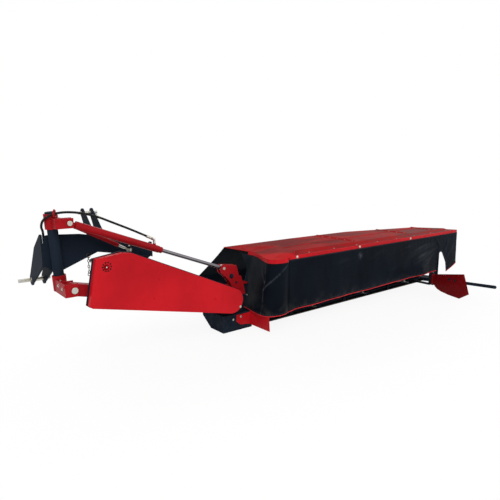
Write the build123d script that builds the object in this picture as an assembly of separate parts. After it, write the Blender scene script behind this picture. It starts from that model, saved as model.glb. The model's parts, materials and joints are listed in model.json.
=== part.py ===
from build123d import *
import math
import os

# Side-mounted disc mower with a 2.8 m cut, standing on its cutter bar.
# Millimetres. +X runs outboard along the bar, +Y is the direction of travel, +Z is up.
# The origin is on the ground under the middle of the whole machine.

# Cutter bar and discs
DISC_COUNT = 7
DISC_PITCH = 383.0
FIRST_DISC_X = -350.0
BAR_Y = 200.0
BAR_WIDTH = 220.0
BAR_BASE_Z = 9.0
BAR_HEIGHT = 57.0
BAR_INNER_X = -640.0
BAR_END_MARGIN = 112.0
DISC_LONG_R = 185.0
DISC_SHORT_HALF = 122.0
DISC_RIM_THICKNESS = 7.0
DISC_DOME_HEIGHT = 46.0
DISC_DOME_R = 105.0
DISC_HUB_R = 46.0
DISC_HUB_HEIGHT = 22.0
DISC_CAP_R = 34.0
DISC_CAP_HEIGHT = 12.0
KNIFE_REACH = 250.0
KNIFE_WIDTH = 44.0
KNIFE_THICKNESS = 4.0
KNIFE_BOLT_R = 14.0
SKID_WIDTH = 340.0
SKID_THICKNESS = 8.0
SKID_REAR_OVERHANG = 12.0
SKID_TOE_RISE = 46.0
SKID_TOE_REACH = 34.0
BAR_CHAMFER = 26.0
SEAT_GAP = 0.3

# Inner shoe, gearbox and the axis on which the cutting unit folds
FOLD_X = -942.0
FOLD_Z = 317.0
SHOE_INNER_X = -950.0
SHOE_TOP_Z = 150.0
SHOE_REAR_Y = 78.0
SHOE_FRONT_Y = 400.0
SHOE_TOE_RISE = 90.0
SHOE_PLATE = 10.0
GEARBOX_Y0 = 148.0
GEARBOX_Y1 = 330.0
GEARBOX_R = 92.0
TRUNNION_R = 52.0
GEARBOX_LEG_WIDTH = 190.0
GEARBOX_LEG_DEPTH = 112.0

# Hood and its tarps
HOOD_TOP_Z = 650.0
HOOD_SHEET = 5.0
HOOD_REAR_Y = -175.0
HOOD_FRONT_Y = 560.0
HOOD_INNER_X = -600.0
HOOD_OUTER_X = 2350.0
HOOD_FRONT_OUTER_X = 2100.0
HOOD_FRONT_OUTER_Y = 280.0
HOOD_FRONT_BREAK_X = 1050.0
HOOD_RIM_DROP = 34.0
HOOD_RIM_SHEET = 4.0
CORNER_X = -440.0
HOOD_RAISE = 20.0

# Plan of the bulged rear inner corner, from the inner side round to the rear rim
HOOD_BULGE = [
    (-553, 244),
    (-540, 184),
    (-571, 81),
    (-626, -43),
    (-663, -132),
    (-669, -182),
    (-633, -227),
    (-569, -245),
    (-501, -239),
]
BULGE_MIDDLE = (-420, 0)
BULGE_SHEET = 12.0

# Plan of the corner curtain: (under the hood's skirt, at the hem)
CORNER_CURTAIN = [
    ((CORNER_X - 3.6, -185), (CORNER_X - 3.6, -185)),
    ((-501, -234), (-507, -213)),
    ((-569, -240), (-569, -219)),
    ((-629, -223), (-662, -195)),
    ((-661, -181), (-694, -148)),
    ((-656, -132), (-693, -61)),
    ((-619, -40), (-671, 67)),
    ((-564, 83), (-658, 130)),
    ((-534, 184), (-650, 200)),
    ((-547, 244), (-648, 260)),
    ((-564, 350), (-646, 350)),
]
CURTAIN_MIDDLE = (-300, 60)
# Front edge of the corner curtain, from its hem up: (y, z)
CURTAIN_EDGE = [(176, 140), (178, 385), (345, 620)]

# Sloping border of the raised panel: (foot at the flange, edge of the raised middle)
HOOD_BORDER = [
    ((2270, -115), (2205, -80)),
    ((2050, 240), (1990, 200)),
    ((1050, 490), (1040, 445)),
    ((150, 520), (160, 470)),
    ((-560, 520), (-500, 462)),
    ((-530, 262), (-390, 280)),
    ((-525, 200), (-240, 200)),
    ((-560, 81), (-308, 83)),
    ((-614, -43), (-350, 10)),
    ((-650, -132), (-385, -46)),
    ((-655, -180), (-394, -80)),
    ((-627, -217), (-386, -112)),
    ((-566, -232), (-360, -126)),
    ((-480, -222), (-335, -128)),
    ((-330, -135), (-290, -90)),
]
TARP_SHEET = 6.0
TARP_HEM_Z = 165.0
TARP_HEM_OUTER_Z = 200.0
TARP_ARCH_X0 = 1925.0
TARP_ARCH_HEIGHT = 220.0
TARP_ARCH_FOOT = 205.0
# Cut-out of the outer curtain behind the arch of the rear one: (y, z)
OUTER_ARCH = [(-131, 150), (-122, 330), (-95, 385), (-60, 402), (20, 402), (80, 384), (125, 320), (140, 150)]
TARP_FRONT_FLARE = 215.0
TARP_BREAK_Z = 350.0
TARP_FRONT_INNER_X = -750.0

# Hood frame
FRAME_TUBE = 40.0
FRAME_PLATE = 8.0
LEG_BEND_Z = 150.0
LEG_MARGIN = 4.0
FRAME_MARGIN = 85.0
OUTER_LEG_X = 2206.0
OUTER_LEG_Y = 0.0
OUTER_SHOE_H = 40.0

# Drive arm and belt guard
GUARD_REAR_Y = -50.0
GUARD_DEPTH = 45.0
GUARD_SHEET = 3.0
CASING_SHEET = 5.0
CASING_DEPTH = 20.0
CASING_RIM = 5.0
GUARD_NOSE_R = 104.0
DRIVE_X = -1985.0
DRIVE_Z = 742.0
ARM_PIN_X = -2186.0
ARM_PIN_Z = 599.0
ARM_PIN_R = 15.0
ARM_Y0 = 37.0
ARM_Y1 = 107.0
ARM_HEIGHT = 84.0
ARM_EYE_R = 34.0
ARM_HUB_R = 80.0
RUNNING_GAP = 0.05
INPUT_HOUSING_R = 58.0
INPUT_SHAFT_R = 17.5
INPUT_SHAFT_REACH = 120.0
SPLINE_COUNT = 6
SPLINE_DEPTH = 3.0

# Pivot post and the swing frame on it
POST_X = -2205.0
POST_Y = 250.0
POST_R = 35.0
POST_FOOT_Z = 556.0
POST_TOP_Z = 1106.0
POST_LEAN = -3.7
SLEEVE_WALL = 11.0
SLEEVE_GAP = 0.06
LOW_SLEEVE_Z = 560.0
LOW_SLEEVE_H = 106.0
TOP_SLEEVE_Z = 990.0
TOP_SLEEVE_H = 104.0
CHEEK = 12.0
CYLINDER_PIN_X = -2159.0
CYLINDER_PIN_Z = 1033.0
CYLINDER_PIN_R = 12.5
LOOP_R = 24.0
LOOP_X = -2236.0
LOOP_Y = 168.0
LOOP_TURN = -27.0
LOOP_WIRE_R = 6.0

# Lift cylinder
CYLINDER_Y = 140.0
BARREL_R = 27.0
BARREL_LENGTH = 700.0
ROD_R = 15.0
ROD_START = 362.0
EYE_R = 28.0
EYE_WIDTH = 30.0
BRACKET_DROP = 195.0
EYE_PIN_STUB = 2.5
ROD_EYE_X = -913.0
ROD_EYE_Z = 559.0
PORT_BACK = 33.45
PORT_PIPE_R = 7.0
ELBOW_RISE = 66.0
ELBOW_R = 9.0

# Hose from the cylinder's port over the ring to its coupler between the left lugs
HOSE_R = 8.0
HOSE_PATH = [
    (-1562, 140, 876),
    (-1697, 140, 944),
    (-1867, 140, 1020),
    (-1967, 141, 1066),
    (-2077, 144, 1096),
    (-2167, 151, 1106),
    (-2239, 165, 1099),
    (-2297, 216, 1062),
    (-2302, 267, 1005),
    (-2273, 327, 966),
    (-2270, 345, 890),
    (-2270, 345, 800),
]
COUPLER_R = 9.0
COUPLER_LENGTH = 52.0

# Break-away bar
BREAK_NEAR = (-2128.0, 250.0, 1016.0)
BREAK_FAR = (-1690.0, 250.0, 786.0)
BREAK_TUBE_R = 15.0
BREAK_TUBE_LENGTH = 400.0
BREAK_ROD_R = 9.0
BREAK_EYE_R = 20.0
BREAK_EYE_WIDTH = 24.0
BREAK_PIN_R = 9.0
BREAK_NECK_R = 6.0
EAR_GAP = 3.0
EAR_PLATE = 8.0
FAR_EAR_GAP = 5.0
PIN_HEAD = 8.0

# Headstock
HITCH_Y = 650.0
HITCH_Z = 570.0
HITCH_LEFT_X = -2250.0
HITCH_SPACING = 735.0
HITCH_PIN_R = 13.95
HITCH_SHANK_R = 16.0
HITCH_END_R = 11.0
HITCH_PIN_OUT = 90.0
HITCH_PIN_IN = 40.0
LUG_PLATE = 12.0
LUG_GAP = 72.0
LUG_NOSE_R = 44.0
STOCK_PLATE_Y = 304.0
STOCK_PLATE = 12.0
MAST_X = -1882.0
MAST_GAP = 56.0
MAST_PLATE = 14.0
MAST_PIN_Y = 560.0
MAST_PIN_Z = 1055.0
MAST_PIN_R = 12.7
MAST_NOSE_R = 34.0

# Outer swath board
SWATH_HINGE_X = 1850.0
SWATH_HINGE_Y = -190.0
SWATH_ANGLE = 27.0
SWATH_SHEET = 5.0
INNER_FLANGE = 140.0
SWATH_PIN_R = 8.0
STICK_R = 16.0
SWATH_FORK_Z = 180.0

# The machine's middle on the ground, where the origin lies
MIDDLE = (-17.0, -153.0, 0.0)


def outline_xz(points, y0, y1):
    """Closed outline in the X-Z plane, drawn out from y0 to y1."""
    wire = Polyline(*[(x, y0, z) for x, z in points], close=True)
    return extrude(make_face(wire), amount=y1 - y0, dir=(0, 1, 0))


def outline_yz(points, x0, x1):
    """Closed outline in the Y-Z plane, drawn out from x0 to x1."""
    wire = Polyline(*[(x0, y, z) for y, z in points], close=True)
    return extrude(make_face(wire), amount=x1 - x0, dir=(1, 0, 0))


def outline_xy(points, z0, z1):
    """Closed outline in the X-Y plane, drawn out from z0 to z1."""
    wire = Polyline(*[(x, y, z0) for x, y in points], close=True)
    return extrude(make_face(wire), amount=z1 - z0, dir=(0, 0, 1))


def block(x0, x1, y0, y1, z0, z1):
    """Box between two corners."""
    return Pos((x0 + x1) / 2, (y0 + y1) / 2, (z0 + z1) / 2) * Box(x1 - x0, y1 - y0, z1 - z0)


def bar_between(start, end, radius):
    """Round bar from start to end."""
    a = Vector(*start)
    b = Vector(*end)
    return Solid.make_cylinder(radius, (b - a).length, Plane(origin=a, z_dir=(b - a)))


def along_x(x0, x1, y, z, radius):
    return bar_between((x0, y, z), (x1, y, z), radius)


def along_y(x, y0, y1, z, radius):
    return bar_between((x, y0, z), (x, y1, z), radius)


def upright(x, y, z0, z1, radius):
    return bar_between((x, y, z0), (x, y, z1), radius)


def lean(shape):
    """Tilts what is built on the upright post about the post's foot."""
    foot = Pos(POST_X, POST_Y, POST_FOOT_Z)
    return foot * Rot(0, POST_LEAN, 0) * foot.inverse() * shape


def solids_of(shape):
    """One shape that holds every solid of a result."""
    found = shape.solids()
    if len(found) == 1:
        return found[0]
    return Compound(children=list(found))


def disc_x(index):
    return FIRST_DISC_X + index * DISC_PITCH


BAR_OUTER_X = disc_x(DISC_COUNT - 1) + BAR_END_MARGIN
BAR_TOP_Z = BAR_BASE_Z + BAR_HEIGHT
DISC_BASE_Z = BAR_TOP_Z + DISC_HUB_HEIGHT


def cutter_bar():
    rear = BAR_Y - BAR_WIDTH / 2
    front = BAR_Y + BAR_WIDTH / 2
    edge = BAR_CHAMFER
    shoulder = 40.0
    points = [
        (rear + edge, BAR_BASE_Z),
        (rear, BAR_BASE_Z + edge),
        (rear, BAR_TOP_Z - edge),
        (rear + shoulder, BAR_TOP_Z),
        (front - shoulder, BAR_TOP_Z),
        (front, BAR_TOP_Z - edge),
        (front, BAR_BASE_Z + edge),
        (front - edge, BAR_BASE_Z),
    ]
    return outline_yz(points, BAR_INNER_X, BAR_OUTER_X)


def skids():
    """A wear skid under each disc, its toe turned up in front of the bar."""
    rear = BAR_Y - BAR_WIDTH / 2 - SKID_REAR_OVERHANG
    front = BAR_Y + BAR_WIDTH / 2
    base = BAR_BASE_Z - SEAT_GAP
    points = [
        (rear, 0),
        (front - SKID_TOE_REACH, 0),
        (front + SKID_TOE_REACH, SKID_TOE_RISE),
        (front + SKID_TOE_REACH, SKID_TOE_RISE + SKID_THICKNESS),
        (front + SEAT_GAP, SKID_TOE_RISE - SKID_THICKNESS),
        (front + SEAT_GAP, BAR_BASE_Z + BAR_CHAMFER),
        (front + SEAT_GAP - BAR_CHAMFER, base),
        (rear, base),
    ]
    made = []
    for index in range(DISC_COUNT):
        x = disc_x(index)
        made.append(outline_yz(points, x - SKID_WIDTH / 2, min(x + SKID_WIDTH / 2, BAR_OUTER_X)))
    return Compound(children=made)


def disc(index):
    """Oval disc with two knives; neighbours stand a quarter turn apart."""
    z = DISC_BASE_Z
    rim_top = z + DISC_RIM_THICKNESS
    profile = Polyline(
        (0, z),
        (DISC_LONG_R, z),
        (DISC_LONG_R, rim_top),
        (DISC_DOME_R, rim_top + DISC_DOME_HEIGHT * 0.45),
        (DISC_CAP_R, rim_top + DISC_DOME_HEIGHT),
        (0, rim_top + DISC_DOME_HEIGHT),
        close=True,
    )
    body = revolve(make_face(Plane.XZ * profile), Axis.Z)
    slab = block(-DISC_LONG_R, DISC_LONG_R, -DISC_SHORT_HALF, DISC_SHORT_HALF, 0, 400)
    body = body & slab
    hub = upright(0, 0, BAR_TOP_Z + SEAT_GAP, z, DISC_HUB_R)
    cap_z = rim_top + DISC_DOME_HEIGHT
    cap = upright(0, 0, cap_z, cap_z + DISC_CAP_HEIGHT, DISC_CAP_R * 0.8)
    body = body + hub + cap
    for side in (-1, 1):
        inner = DISC_LONG_R - 30
        knife = block(inner, KNIFE_REACH, -KNIFE_WIDTH / 2, KNIFE_WIDTH / 2, z - KNIFE_THICKNESS, z)
        bolt = upright(inner + 10, 0, z - KNIFE_THICKNESS - 6, z, KNIFE_BOLT_R)
        body = body + Rot(0, 0, 90 - 90 * side) * (knife + bolt)
    turn = 90 * (index % 2)
    return Pos(disc_x(index), BAR_Y, 0) * Rot(0, 0, turn) * body


def inner_shoe():
    """Hollow runner under the gearbox, its toe rising at the front."""
    side = [
        (SHOE_REAR_Y, 0),
        (SHOE_FRONT_Y - 130, 0),
        (SHOE_FRONT_Y, SHOE_TOE_RISE),
        (SHOE_FRONT_Y, SHOE_TOP_Z),
        (SHOE_REAR_Y, SHOE_TOP_Z),
    ]
    outer = BAR_INNER_X - SEAT_GAP
    body = outline_yz(side, SHOE_INNER_X, outer)
    inner_side = [
        (SHOE_REAR_Y + SHOE_PLATE, SHOE_PLATE),
        (SHOE_FRONT_Y - 130, SHOE_PLATE),
        (SHOE_FRONT_Y - SHOE_PLATE, SHOE_TOE_RISE),
        (SHOE_FRONT_Y - SHOE_PLATE, 400),
        (SHOE_REAR_Y + SHOE_PLATE, 400),
    ]
    body = body - outline_yz(inner_side, SHOE_INNER_X + SHOE_PLATE, outer - SHOE_PLATE)
    return body


def gearbox():
    """Bevel gearbox on the fold axis, with its leg down to the bar's first disc."""
    drum = along_y(FOLD_X, GEARBOX_Y0, GEARBOX_Y1, FOLD_Z, GEARBOX_R)
    trunnion = along_y(FOLD_X, ARM_Y0 - 12, GEARBOX_Y0, FOLD_Z, TRUNNION_R)
    leg_x = FOLD_X + GEARBOX_LEG_WIDTH / 2
    leg = outline_xz(
        [
            (FOLD_X - 60, FOLD_Z - 40),
            (SHOE_INNER_X + SHOE_PLATE + 20, SHOE_TOP_Z),
            (SHOE_INNER_X + SHOE_PLATE + 20, SHOE_PLATE + SEAT_GAP),
            (BAR_INNER_X - SHOE_PLATE - 6, SHOE_PLATE + SEAT_GAP),
            (BAR_INNER_X - SHOE_PLATE - 6, BAR_TOP_Z + 50),
            (leg_x, FOLD_Z - 10),
        ],
        GEARBOX_Y0 + 4,
        GEARBOX_Y0 + 4 + GEARBOX_LEG_DEPTH,
    )
    pad = block(
        FOLD_X + 70,
        FOLD_X + 190,
        GEARBOX_Y0 + 4,
        GEARBOX_Y0 + 4 + GEARBOX_LEG_DEPTH,
        FOLD_Z - 120,
        ROD_EYE_Z - BRACKET_DROP - SEAT_GAP,
    )
    ribs = drum + pad
    for y in (GEARBOX_Y0 + 40, GEARBOX_Y1 - 50):
        ribs = ribs + along_y(FOLD_X, y, y + 14, FOLD_Z, GEARBOX_R + 10)
    return trunnion + ribs + leg


def lift_bracket():
    """Two cheeks on the gearbox that hold the rod's eye and carry the hood."""
    cheeks = []
    half = EYE_WIDTH / 2 + 3
    for y0 in (CYLINDER_Y - half - 10, CYLINDER_Y + half):
        cheek = outline_xz(
            [
                (ROD_EYE_X - 34, ROD_EYE_Z + 6),
                (ROD_EYE_X - 20, ROD_EYE_Z + 32),
                (ROD_EYE_X + 130, ROD_EYE_Z + 12),
                (ROD_EYE_X + 190, ROD_EYE_Z - BRACKET_DROP),
                (ROD_EYE_X + 100, ROD_EYE_Z - BRACKET_DROP),
                (ROD_EYE_X + 40, ROD_EYE_Z - 100),
                (ROD_EYE_X - 34, ROD_EYE_Z - 30),
            ],
            y0,
            y0 + 10,
        )
        cheeks.append(cheek)
    back = block(
        ROD_EYE_X + 118, ROD_EYE_X + 128, CYLINDER_Y - half, CYLINDER_Y + half, ROD_EYE_Z - 190, ROD_EYE_Z - 10
    )
    low = ROD_EYE_Z - BRACKET_DROP
    sole = block(ROD_EYE_X + 90, ROD_EYE_X + 180, CYLINDER_Y + half, GEARBOX_Y1 - 60, low, low + 10)
    tie = block(ROD_EYE_X + 180, inner_leg_x(low) - SEAT_GAP, GEARBOX_Y0 + 52, GEARBOX_Y1 - 60, low, low + 10)
    return cheeks[0] + cheeks[1] + back + sole + tie


def eye_pin():
    """The two ends of the rod's pin that show outside the cheeks."""
    half = EYE_WIDTH / 2 + 13 + SEAT_GAP
    rear = along_y(ROD_EYE_X, CYLINDER_Y - half - EYE_PIN_STUB, CYLINDER_Y - half, ROD_EYE_Z, CYLINDER_PIN_R)
    front = along_y(ROD_EYE_X, CYLINDER_Y + half, CYLINDER_Y + half + PIN_HEAD, ROD_EYE_Z, CYLINDER_PIN_R)
    return Compound(children=[rear, front])


def hood_top():
    """Pressed hood: a flange at its edge, a sloping border and a raised middle."""
    flange = [
        (CORNER_X, HOOD_REAR_Y),
        (HOOD_OUTER_X, HOOD_REAR_Y),
        (HOOD_FRONT_OUTER_X, HOOD_FRONT_OUTER_Y),
        (HOOD_FRONT_BREAK_X, HOOD_FRONT_Y - 30),
        (HOOD_FRONT_BREAK_X - 900, HOOD_FRONT_Y),
        (HOOD_INNER_X, HOOD_FRONT_Y),
    ]
    plate = outline_xy(flange + HOOD_BULGE, HOOD_TOP_Z - HOOD_SHEET, HOOD_TOP_Z)
    sections = []
    for column, z in ((0, HOOD_TOP_Z), (1, HOOD_TOP_Z + HOOD_RAISE)):
        ring = [(*pair[column], z) for pair in HOOD_BORDER]
        sections.append(make_face(Polyline(*ring, close=True)))
    panel = loft(sections, ruled=True)
    return plate + panel - Pos(0, 0, -HOOD_SHEET) * panel


def hood_rim():
    """Pressed strip that clamps the rear tarp to the hood's edge."""
    y1 = HOOD_REAR_Y
    strip = block(CORNER_X, HOOD_OUTER_X, y1 - HOOD_RIM_SHEET, y1, HOOD_TOP_Z - HOOD_RIM_DROP, HOOD_TOP_Z)
    return strip


def hood_corner():
    """Skirt under the bulged corner at the hood's rear inner end."""
    low = HOOD_TOP_Z - HOOD_RIM_DROP
    high = HOOD_TOP_Z - HOOD_SHEET - SEAT_GAP
    inner = []
    for x, y in HOOD_BULGE[::-1]:
        away = Vector(x - BULGE_MIDDLE[0], y - BULGE_MIDDLE[1]).normalized()
        inner.append((x - away.X * BULGE_SHEET, y - away.Y * BULGE_SHEET))
    return outline_xy(HOOD_BULGE + inner, low, high)


def inner_leg_x(z):
    """Where the inner face of the frame's slanted inner leg lies at a height."""
    low = HOOD_TOP_Z - HOOD_SHEET - SEAT_GAP - FRAME_TUBE
    foot = BAR_INNER_X + LEG_MARGIN
    return foot + (HOOD_INNER_X + FRAME_MARGIN - foot) * (z - LEG_BEND_Z) / (low - LEG_BEND_Z)


def hood_frame():
    """Tubes and end plates that carry the hood over the bar."""
    under = HOOD_TOP_Z - HOOD_SHEET - SEAT_GAP
    half = FRAME_TUBE / 2
    rear_y = HOOD_REAR_Y + 60
    front_y = 250.0
    x0 = HOOD_INNER_X + FRAME_MARGIN
    x1 = OUTER_LEG_X + FRAME_PLATE
    front_x1 = HOOD_FRONT_OUTER_X - 60
    leg_x = BAR_INNER_X + LEG_MARGIN
    rear = block(x0, x1, rear_y, rear_y + FRAME_TUBE, under - FRAME_TUBE, under)
    front = block(x0, front_x1, front_y, front_y + FRAME_TUBE, under - FRAME_TUBE, under)
    frame = rear + front
    for x in (x0, (x0 + x1) / 2 - half):
        frame = frame + block(x, x + FRAME_TUBE, rear_y, front_y + FRAME_TUBE, under - FRAME_TUBE, under)
    low = under - FRAME_TUBE
    inner_leg = outline_xz(
        [
            (leg_x, BAR_TOP_Z + SEAT_GAP),
            (leg_x, LEG_BEND_Z),
            (inner_leg_x(low), low),
            (inner_leg_x(low), low + 2),
            (inner_leg_x(low) + FRAME_PLATE, low + 2),
            (inner_leg_x(low) + FRAME_PLATE, low),
            (leg_x + FRAME_PLATE, LEG_BEND_Z),
            (leg_x + FRAME_PLATE, BAR_TOP_Z + SEAT_GAP),
        ],
        BAR_Y - 70,
        BAR_Y + 70,
    )
    leg_y = OUTER_LEG_Y
    outer_leg = block(
        OUTER_LEG_X, x1, leg_y - 50, leg_y + 50, BAR_BASE_Z + OUTER_SHOE_H + SEAT_GAP, under - half
    )
    tie = block(OUTER_LEG_X - 30, x1, rear_y, leg_y + 50, under - FRAME_TUBE, under)
    return frame + inner_leg + outer_leg + tie


def outer_shoe():
    """Shoe past the last disc that parts the crop and carries the hood's outer leg."""
    x0 = BAR_OUTER_X + SEAT_GAP
    rear = BAR_Y - BAR_WIDTH / 2
    front = BAR_Y + BAR_WIDTH / 2
    points = [
        (x0, rear),
        (x0 + 60, OUTER_LEG_Y - 60),
        (OUTER_LEG_X + 30, OUTER_LEG_Y - 60),
        (OUTER_LEG_X + 30, OUTER_LEG_Y + 70),
        (x0 + 90, front + 20),
        (x0, front + 20),
    ]
    body = outline_xy(points, BAR_BASE_Z, BAR_BASE_Z + OUTER_SHOE_H)
    sole = [(rear, 0), (front - 40, 0), (front + 50, 60), (front + 50, 68), (front - 44, SKID_THICKNESS), (rear, SKID_THICKNESS)]
    return body + outline_yz(sole, x0, x0 + 90)


def tarp_rear():
    """Rear curtain with the arched cut-out and the flap at its outer end."""
    y1 = HOOD_REAR_Y - HOOD_RIM_SHEET - SEAT_GAP
    y0 = y1 - TARP_SHEET
    top = HOOD_TOP_Z - 8
    arch_x1 = TARP_ARCH_X0 + TARP_ARCH_FOOT
    apex = TARP_HEM_OUTER_Z + TARP_ARCH_HEIGHT
    arch = [
        (TARP_ARCH_X0, TARP_HEM_OUTER_Z),
        (TARP_ARCH_X0 + 10, apex - 70),
        (TARP_ARCH_X0 + 45, apex - 8),
        (TARP_ARCH_X0 + 70, apex),
        (TARP_ARCH_X0 + 100, apex - 20),
        (arch_x1 - 25, TARP_HEM_OUTER_Z + 80),
        (arch_x1, TARP_HEM_Z),
    ]
    points = [(CORNER_X, top), (CORNER_X, TARP_HEM_Z)]
    points = points + arch
    points = points + [(HOOD_OUTER_X, TARP_HEM_OUTER_Z + 45), (HOOD_OUTER_X, top)]
    return outline_xz(points, y0, y1)


def tarp_corner():
    """Curtain round the rear inner corner, its front edge cut on a slant."""
    levels = (TARP_HEM_Z - 5, HOOD_TOP_Z - HOOD_RIM_DROP - SEAT_GAP)
    sections = []
    for column, z in ((1, levels[0]), (0, levels[1])):
        outer = [pair[column] for pair in CORNER_CURTAIN]
        inner = []
        for x, y in outer[::-1]:
            away = Vector(x - CURTAIN_MIDDLE[0], y - CURTAIN_MIDDLE[1]).normalized()
            inner.append((x - away.X * TARP_SHEET, y - away.Y * TARP_SHEET))
        ring = [(x, y, z) for x, y in outer + inner]
        sections.append(make_face(Polyline(*ring, close=True)))
    front_y = CORNER_CURTAIN[-1][0][1] + 10
    beyond = CURTAIN_EDGE + [(front_y, CURTAIN_EDGE[-1][1]), (front_y, CURTAIN_EDGE[0][1])]
    return loft(sections, ruled=True) - outline_yz(beyond, CORNER_CURTAIN[4][1][0] - 10, CORNER_X)


def front_section(x, edge_y, flare):
    """Section of the front curtain: it flares forward and then hangs straight."""
    t = TARP_SHEET
    y0 = edge_y + SEAT_GAP
    y1 = y0 + flare
    z0 = HOOD_TOP_Z - 4
    points = [
        (y0, z0),
        (y1, TARP_BREAK_Z),
        (y1, TARP_HEM_Z),
        (y1 - t, TARP_HEM_Z),
        (y1 - t, TARP_BREAK_Z - 2),
        (y0, z0 - 10),
    ]
    return make_face(Polyline(*[(x, y, z) for y, z in points], close=True))


def tarp_front():
    """Front curtain along the hood's front edge, its inner end cut on a slant."""
    sections = [
        (TARP_FRONT_INNER_X, HOOD_FRONT_Y, TARP_FRONT_FLARE),
        (HOOD_FRONT_BREAK_X - 900, HOOD_FRONT_Y, TARP_FRONT_FLARE),
        (HOOD_FRONT_BREAK_X, HOOD_FRONT_Y - 30, TARP_FRONT_FLARE),
        (HOOD_FRONT_OUTER_X, HOOD_FRONT_OUTER_Y, TARP_FRONT_FLARE * 0.35),
    ]
    sheet = None
    for near, far in zip(sections[:-1], sections[1:]):
        span = loft([front_section(*near), front_section(*far)], ruled=True)
        sheet = span if sheet is None else sheet + span
    slant = outline_xz(
        [
            (TARP_FRONT_INNER_X - 5, HOOD_TOP_Z + 5),
            (HOOD_INNER_X, HOOD_TOP_Z + 5),
            (HOOD_INNER_X, HOOD_TOP_Z - 5),
            (TARP_FRONT_INNER_X, TARP_BREAK_Z),
            (TARP_FRONT_INNER_X - 5, TARP_BREAK_Z),
        ],
        HOOD_FRONT_Y - 50,
        HOOD_FRONT_Y + 400,
    )
    return sheet - slant


def tarp_outer():
    """Curtain across the outer end, from the rear corner to the front curtain."""
    t = TARP_SHEET
    x0 = HOOD_OUTER_X
    x1 = HOOD_FRONT_OUTER_X + 10
    y0 = HOOD_REAR_Y
    y1 = HOOD_FRONT_OUTER_Y - 16
    plan = [(x0, y0), (x0 + t, y0), (x1 + t, y1), (x1, y1)]
    sheet = outline_xy(plan, TARP_HEM_Z, HOOD_TOP_Z - 8)
    slant = [(y0 - 5, TARP_HEM_Z - 5), (y1 + 5, TARP_HEM_Z - 5), (y0 - 5, TARP_HEM_OUTER_Z + 45)]
    for cut in (slant, OUTER_ARCH):
        sheet = sheet - outline_yz(cut, x1 - 10, x0 + 20)
    return sheet


def arm_beam():
    """Beam from the arm's pin to the hub round the gearbox's trunnion."""
    start = Vector(ARM_PIN_X, 0, ARM_PIN_Z)
    end = Vector(FOLD_X, 0, FOLD_Z)
    run = end - start
    angle = math.degrees(math.atan2(-run.Z, run.X))
    middle = (start + end) * 0.5
    depth = ARM_Y1 - ARM_Y0
    place = Pos(middle.X, (ARM_Y0 + ARM_Y1) / 2, middle.Z) * Rot(0, angle, 0)
    beam = place * Box(run.length, depth, ARM_HEIGHT)
    eye = along_y(ARM_PIN_X, ARM_Y0 - 4, ARM_Y1 + 4, ARM_PIN_Z, ARM_EYE_R + 8)
    hub = along_y(FOLD_X, ARM_Y0 - 6, ARM_Y1, FOLD_Z, ARM_HUB_R)
    beam = beam + eye + hub
    beam = beam - along_y(ARM_PIN_X, 0, 200, ARM_PIN_Z, ARM_PIN_R + RUNNING_GAP)
    beam = beam - along_y(FOLD_X, 0, 200, FOLD_Z, TRUNNION_R + RUNNING_GAP)
    foot_top = DRIVE_Z - INPUT_HOUSING_R - SEAT_GAP
    foot = block(DRIVE_X - 40, DRIVE_X + 40, ARM_Y0, ARM_Y1 - 10, 540, foot_top)
    beam = beam + foot
    return beam


def guard_outline(grow):
    """Tapered outline round both pulleys, its nose an arc about the fold axis."""
    upper = [(-2055 - grow, 801), (-1870, 824 + grow), (-1796, 812 + grow)]
    lower_left = [(-2115 - grow, 486), (-2096, 472 - grow)]
    nose = Vector(FOLD_X, FOLD_Z)
    r = GUARD_NOSE_R + grow
    tangents = []
    for point, side in ((upper[-1], 1), (lower_left[-1], -1)):
        away = Vector(point[0], point[1]) - nose
        reach = math.degrees(math.acos(r / away.length))
        base = math.degrees(math.atan2(away.Y, away.X))
        turn = math.radians(base - side * reach)
        tangents.append((nose.X + r * math.cos(turn), nose.Y + r * math.sin(turn)))
    return upper, lower_left, tangents, (nose.X + r, nose.Y)


def guard_shape(grow, y0, y1):
    upper, lower_left, tangents, tip = guard_outline(grow)
    first = Polyline(*[(x, y0, z) for x, z in lower_left[::-1] + upper + [tangents[0]]])
    arc = ThreePointArc(
        (tangents[0][0], y0, tangents[0][1]), (tip[0], y0, tip[1]), (tangents[1][0], y0, tangents[1][1])
    )
    last = Line((tangents[1][0], y0, tangents[1][1]), (lower_left[-1][0], y0, lower_left[-1][1]))
    face = make_face(Wire(first.edges() + arc.edges() + last.edges()))
    return extrude(face, amount=y1 - y0, dir=(0, 1, 0))


def belt_guard():
    """Pressed cover, open at its back."""
    y1 = GUARD_REAR_Y + GUARD_DEPTH
    return guard_shape(0, GUARD_REAR_Y, y1) - guard_shape(-GUARD_SHEET, GUARD_REAR_Y + GUARD_SHEET, y1 + 1)


def belt_casing():
    y0 = GUARD_REAR_Y + GUARD_DEPTH + SEAT_GAP
    body = guard_shape(CASING_RIM, y0, GUARD_REAR_Y + GUARD_DEPTH + CASING_DEPTH)
    back = GUARD_REAR_Y + GUARD_DEPTH + CASING_DEPTH
    body = body - guard_shape(-CASING_SHEET, y0 - 1, back - CASING_SHEET)
    body = body + along_y(DRIVE_X, back, ARM_Y0, DRIVE_Z, INPUT_HOUSING_R)
    body = body + along_y(DRIVE_X, ARM_Y0, ARM_Y1, DRIVE_Z, INPUT_HOUSING_R - 12)
    for x, z in ((DRIVE_X, 562), (-1500, 446), (-1150, 366)):
        body = body + block(x - 30, x + 30, back, ARM_Y0 - SEAT_GAP, z - 20, z + 20)
    body = body - along_y(DRIVE_X, back, ARM_Y1 + 10, DRIVE_Z, INPUT_SHAFT_R + RUNNING_GAP)
    return body


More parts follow.
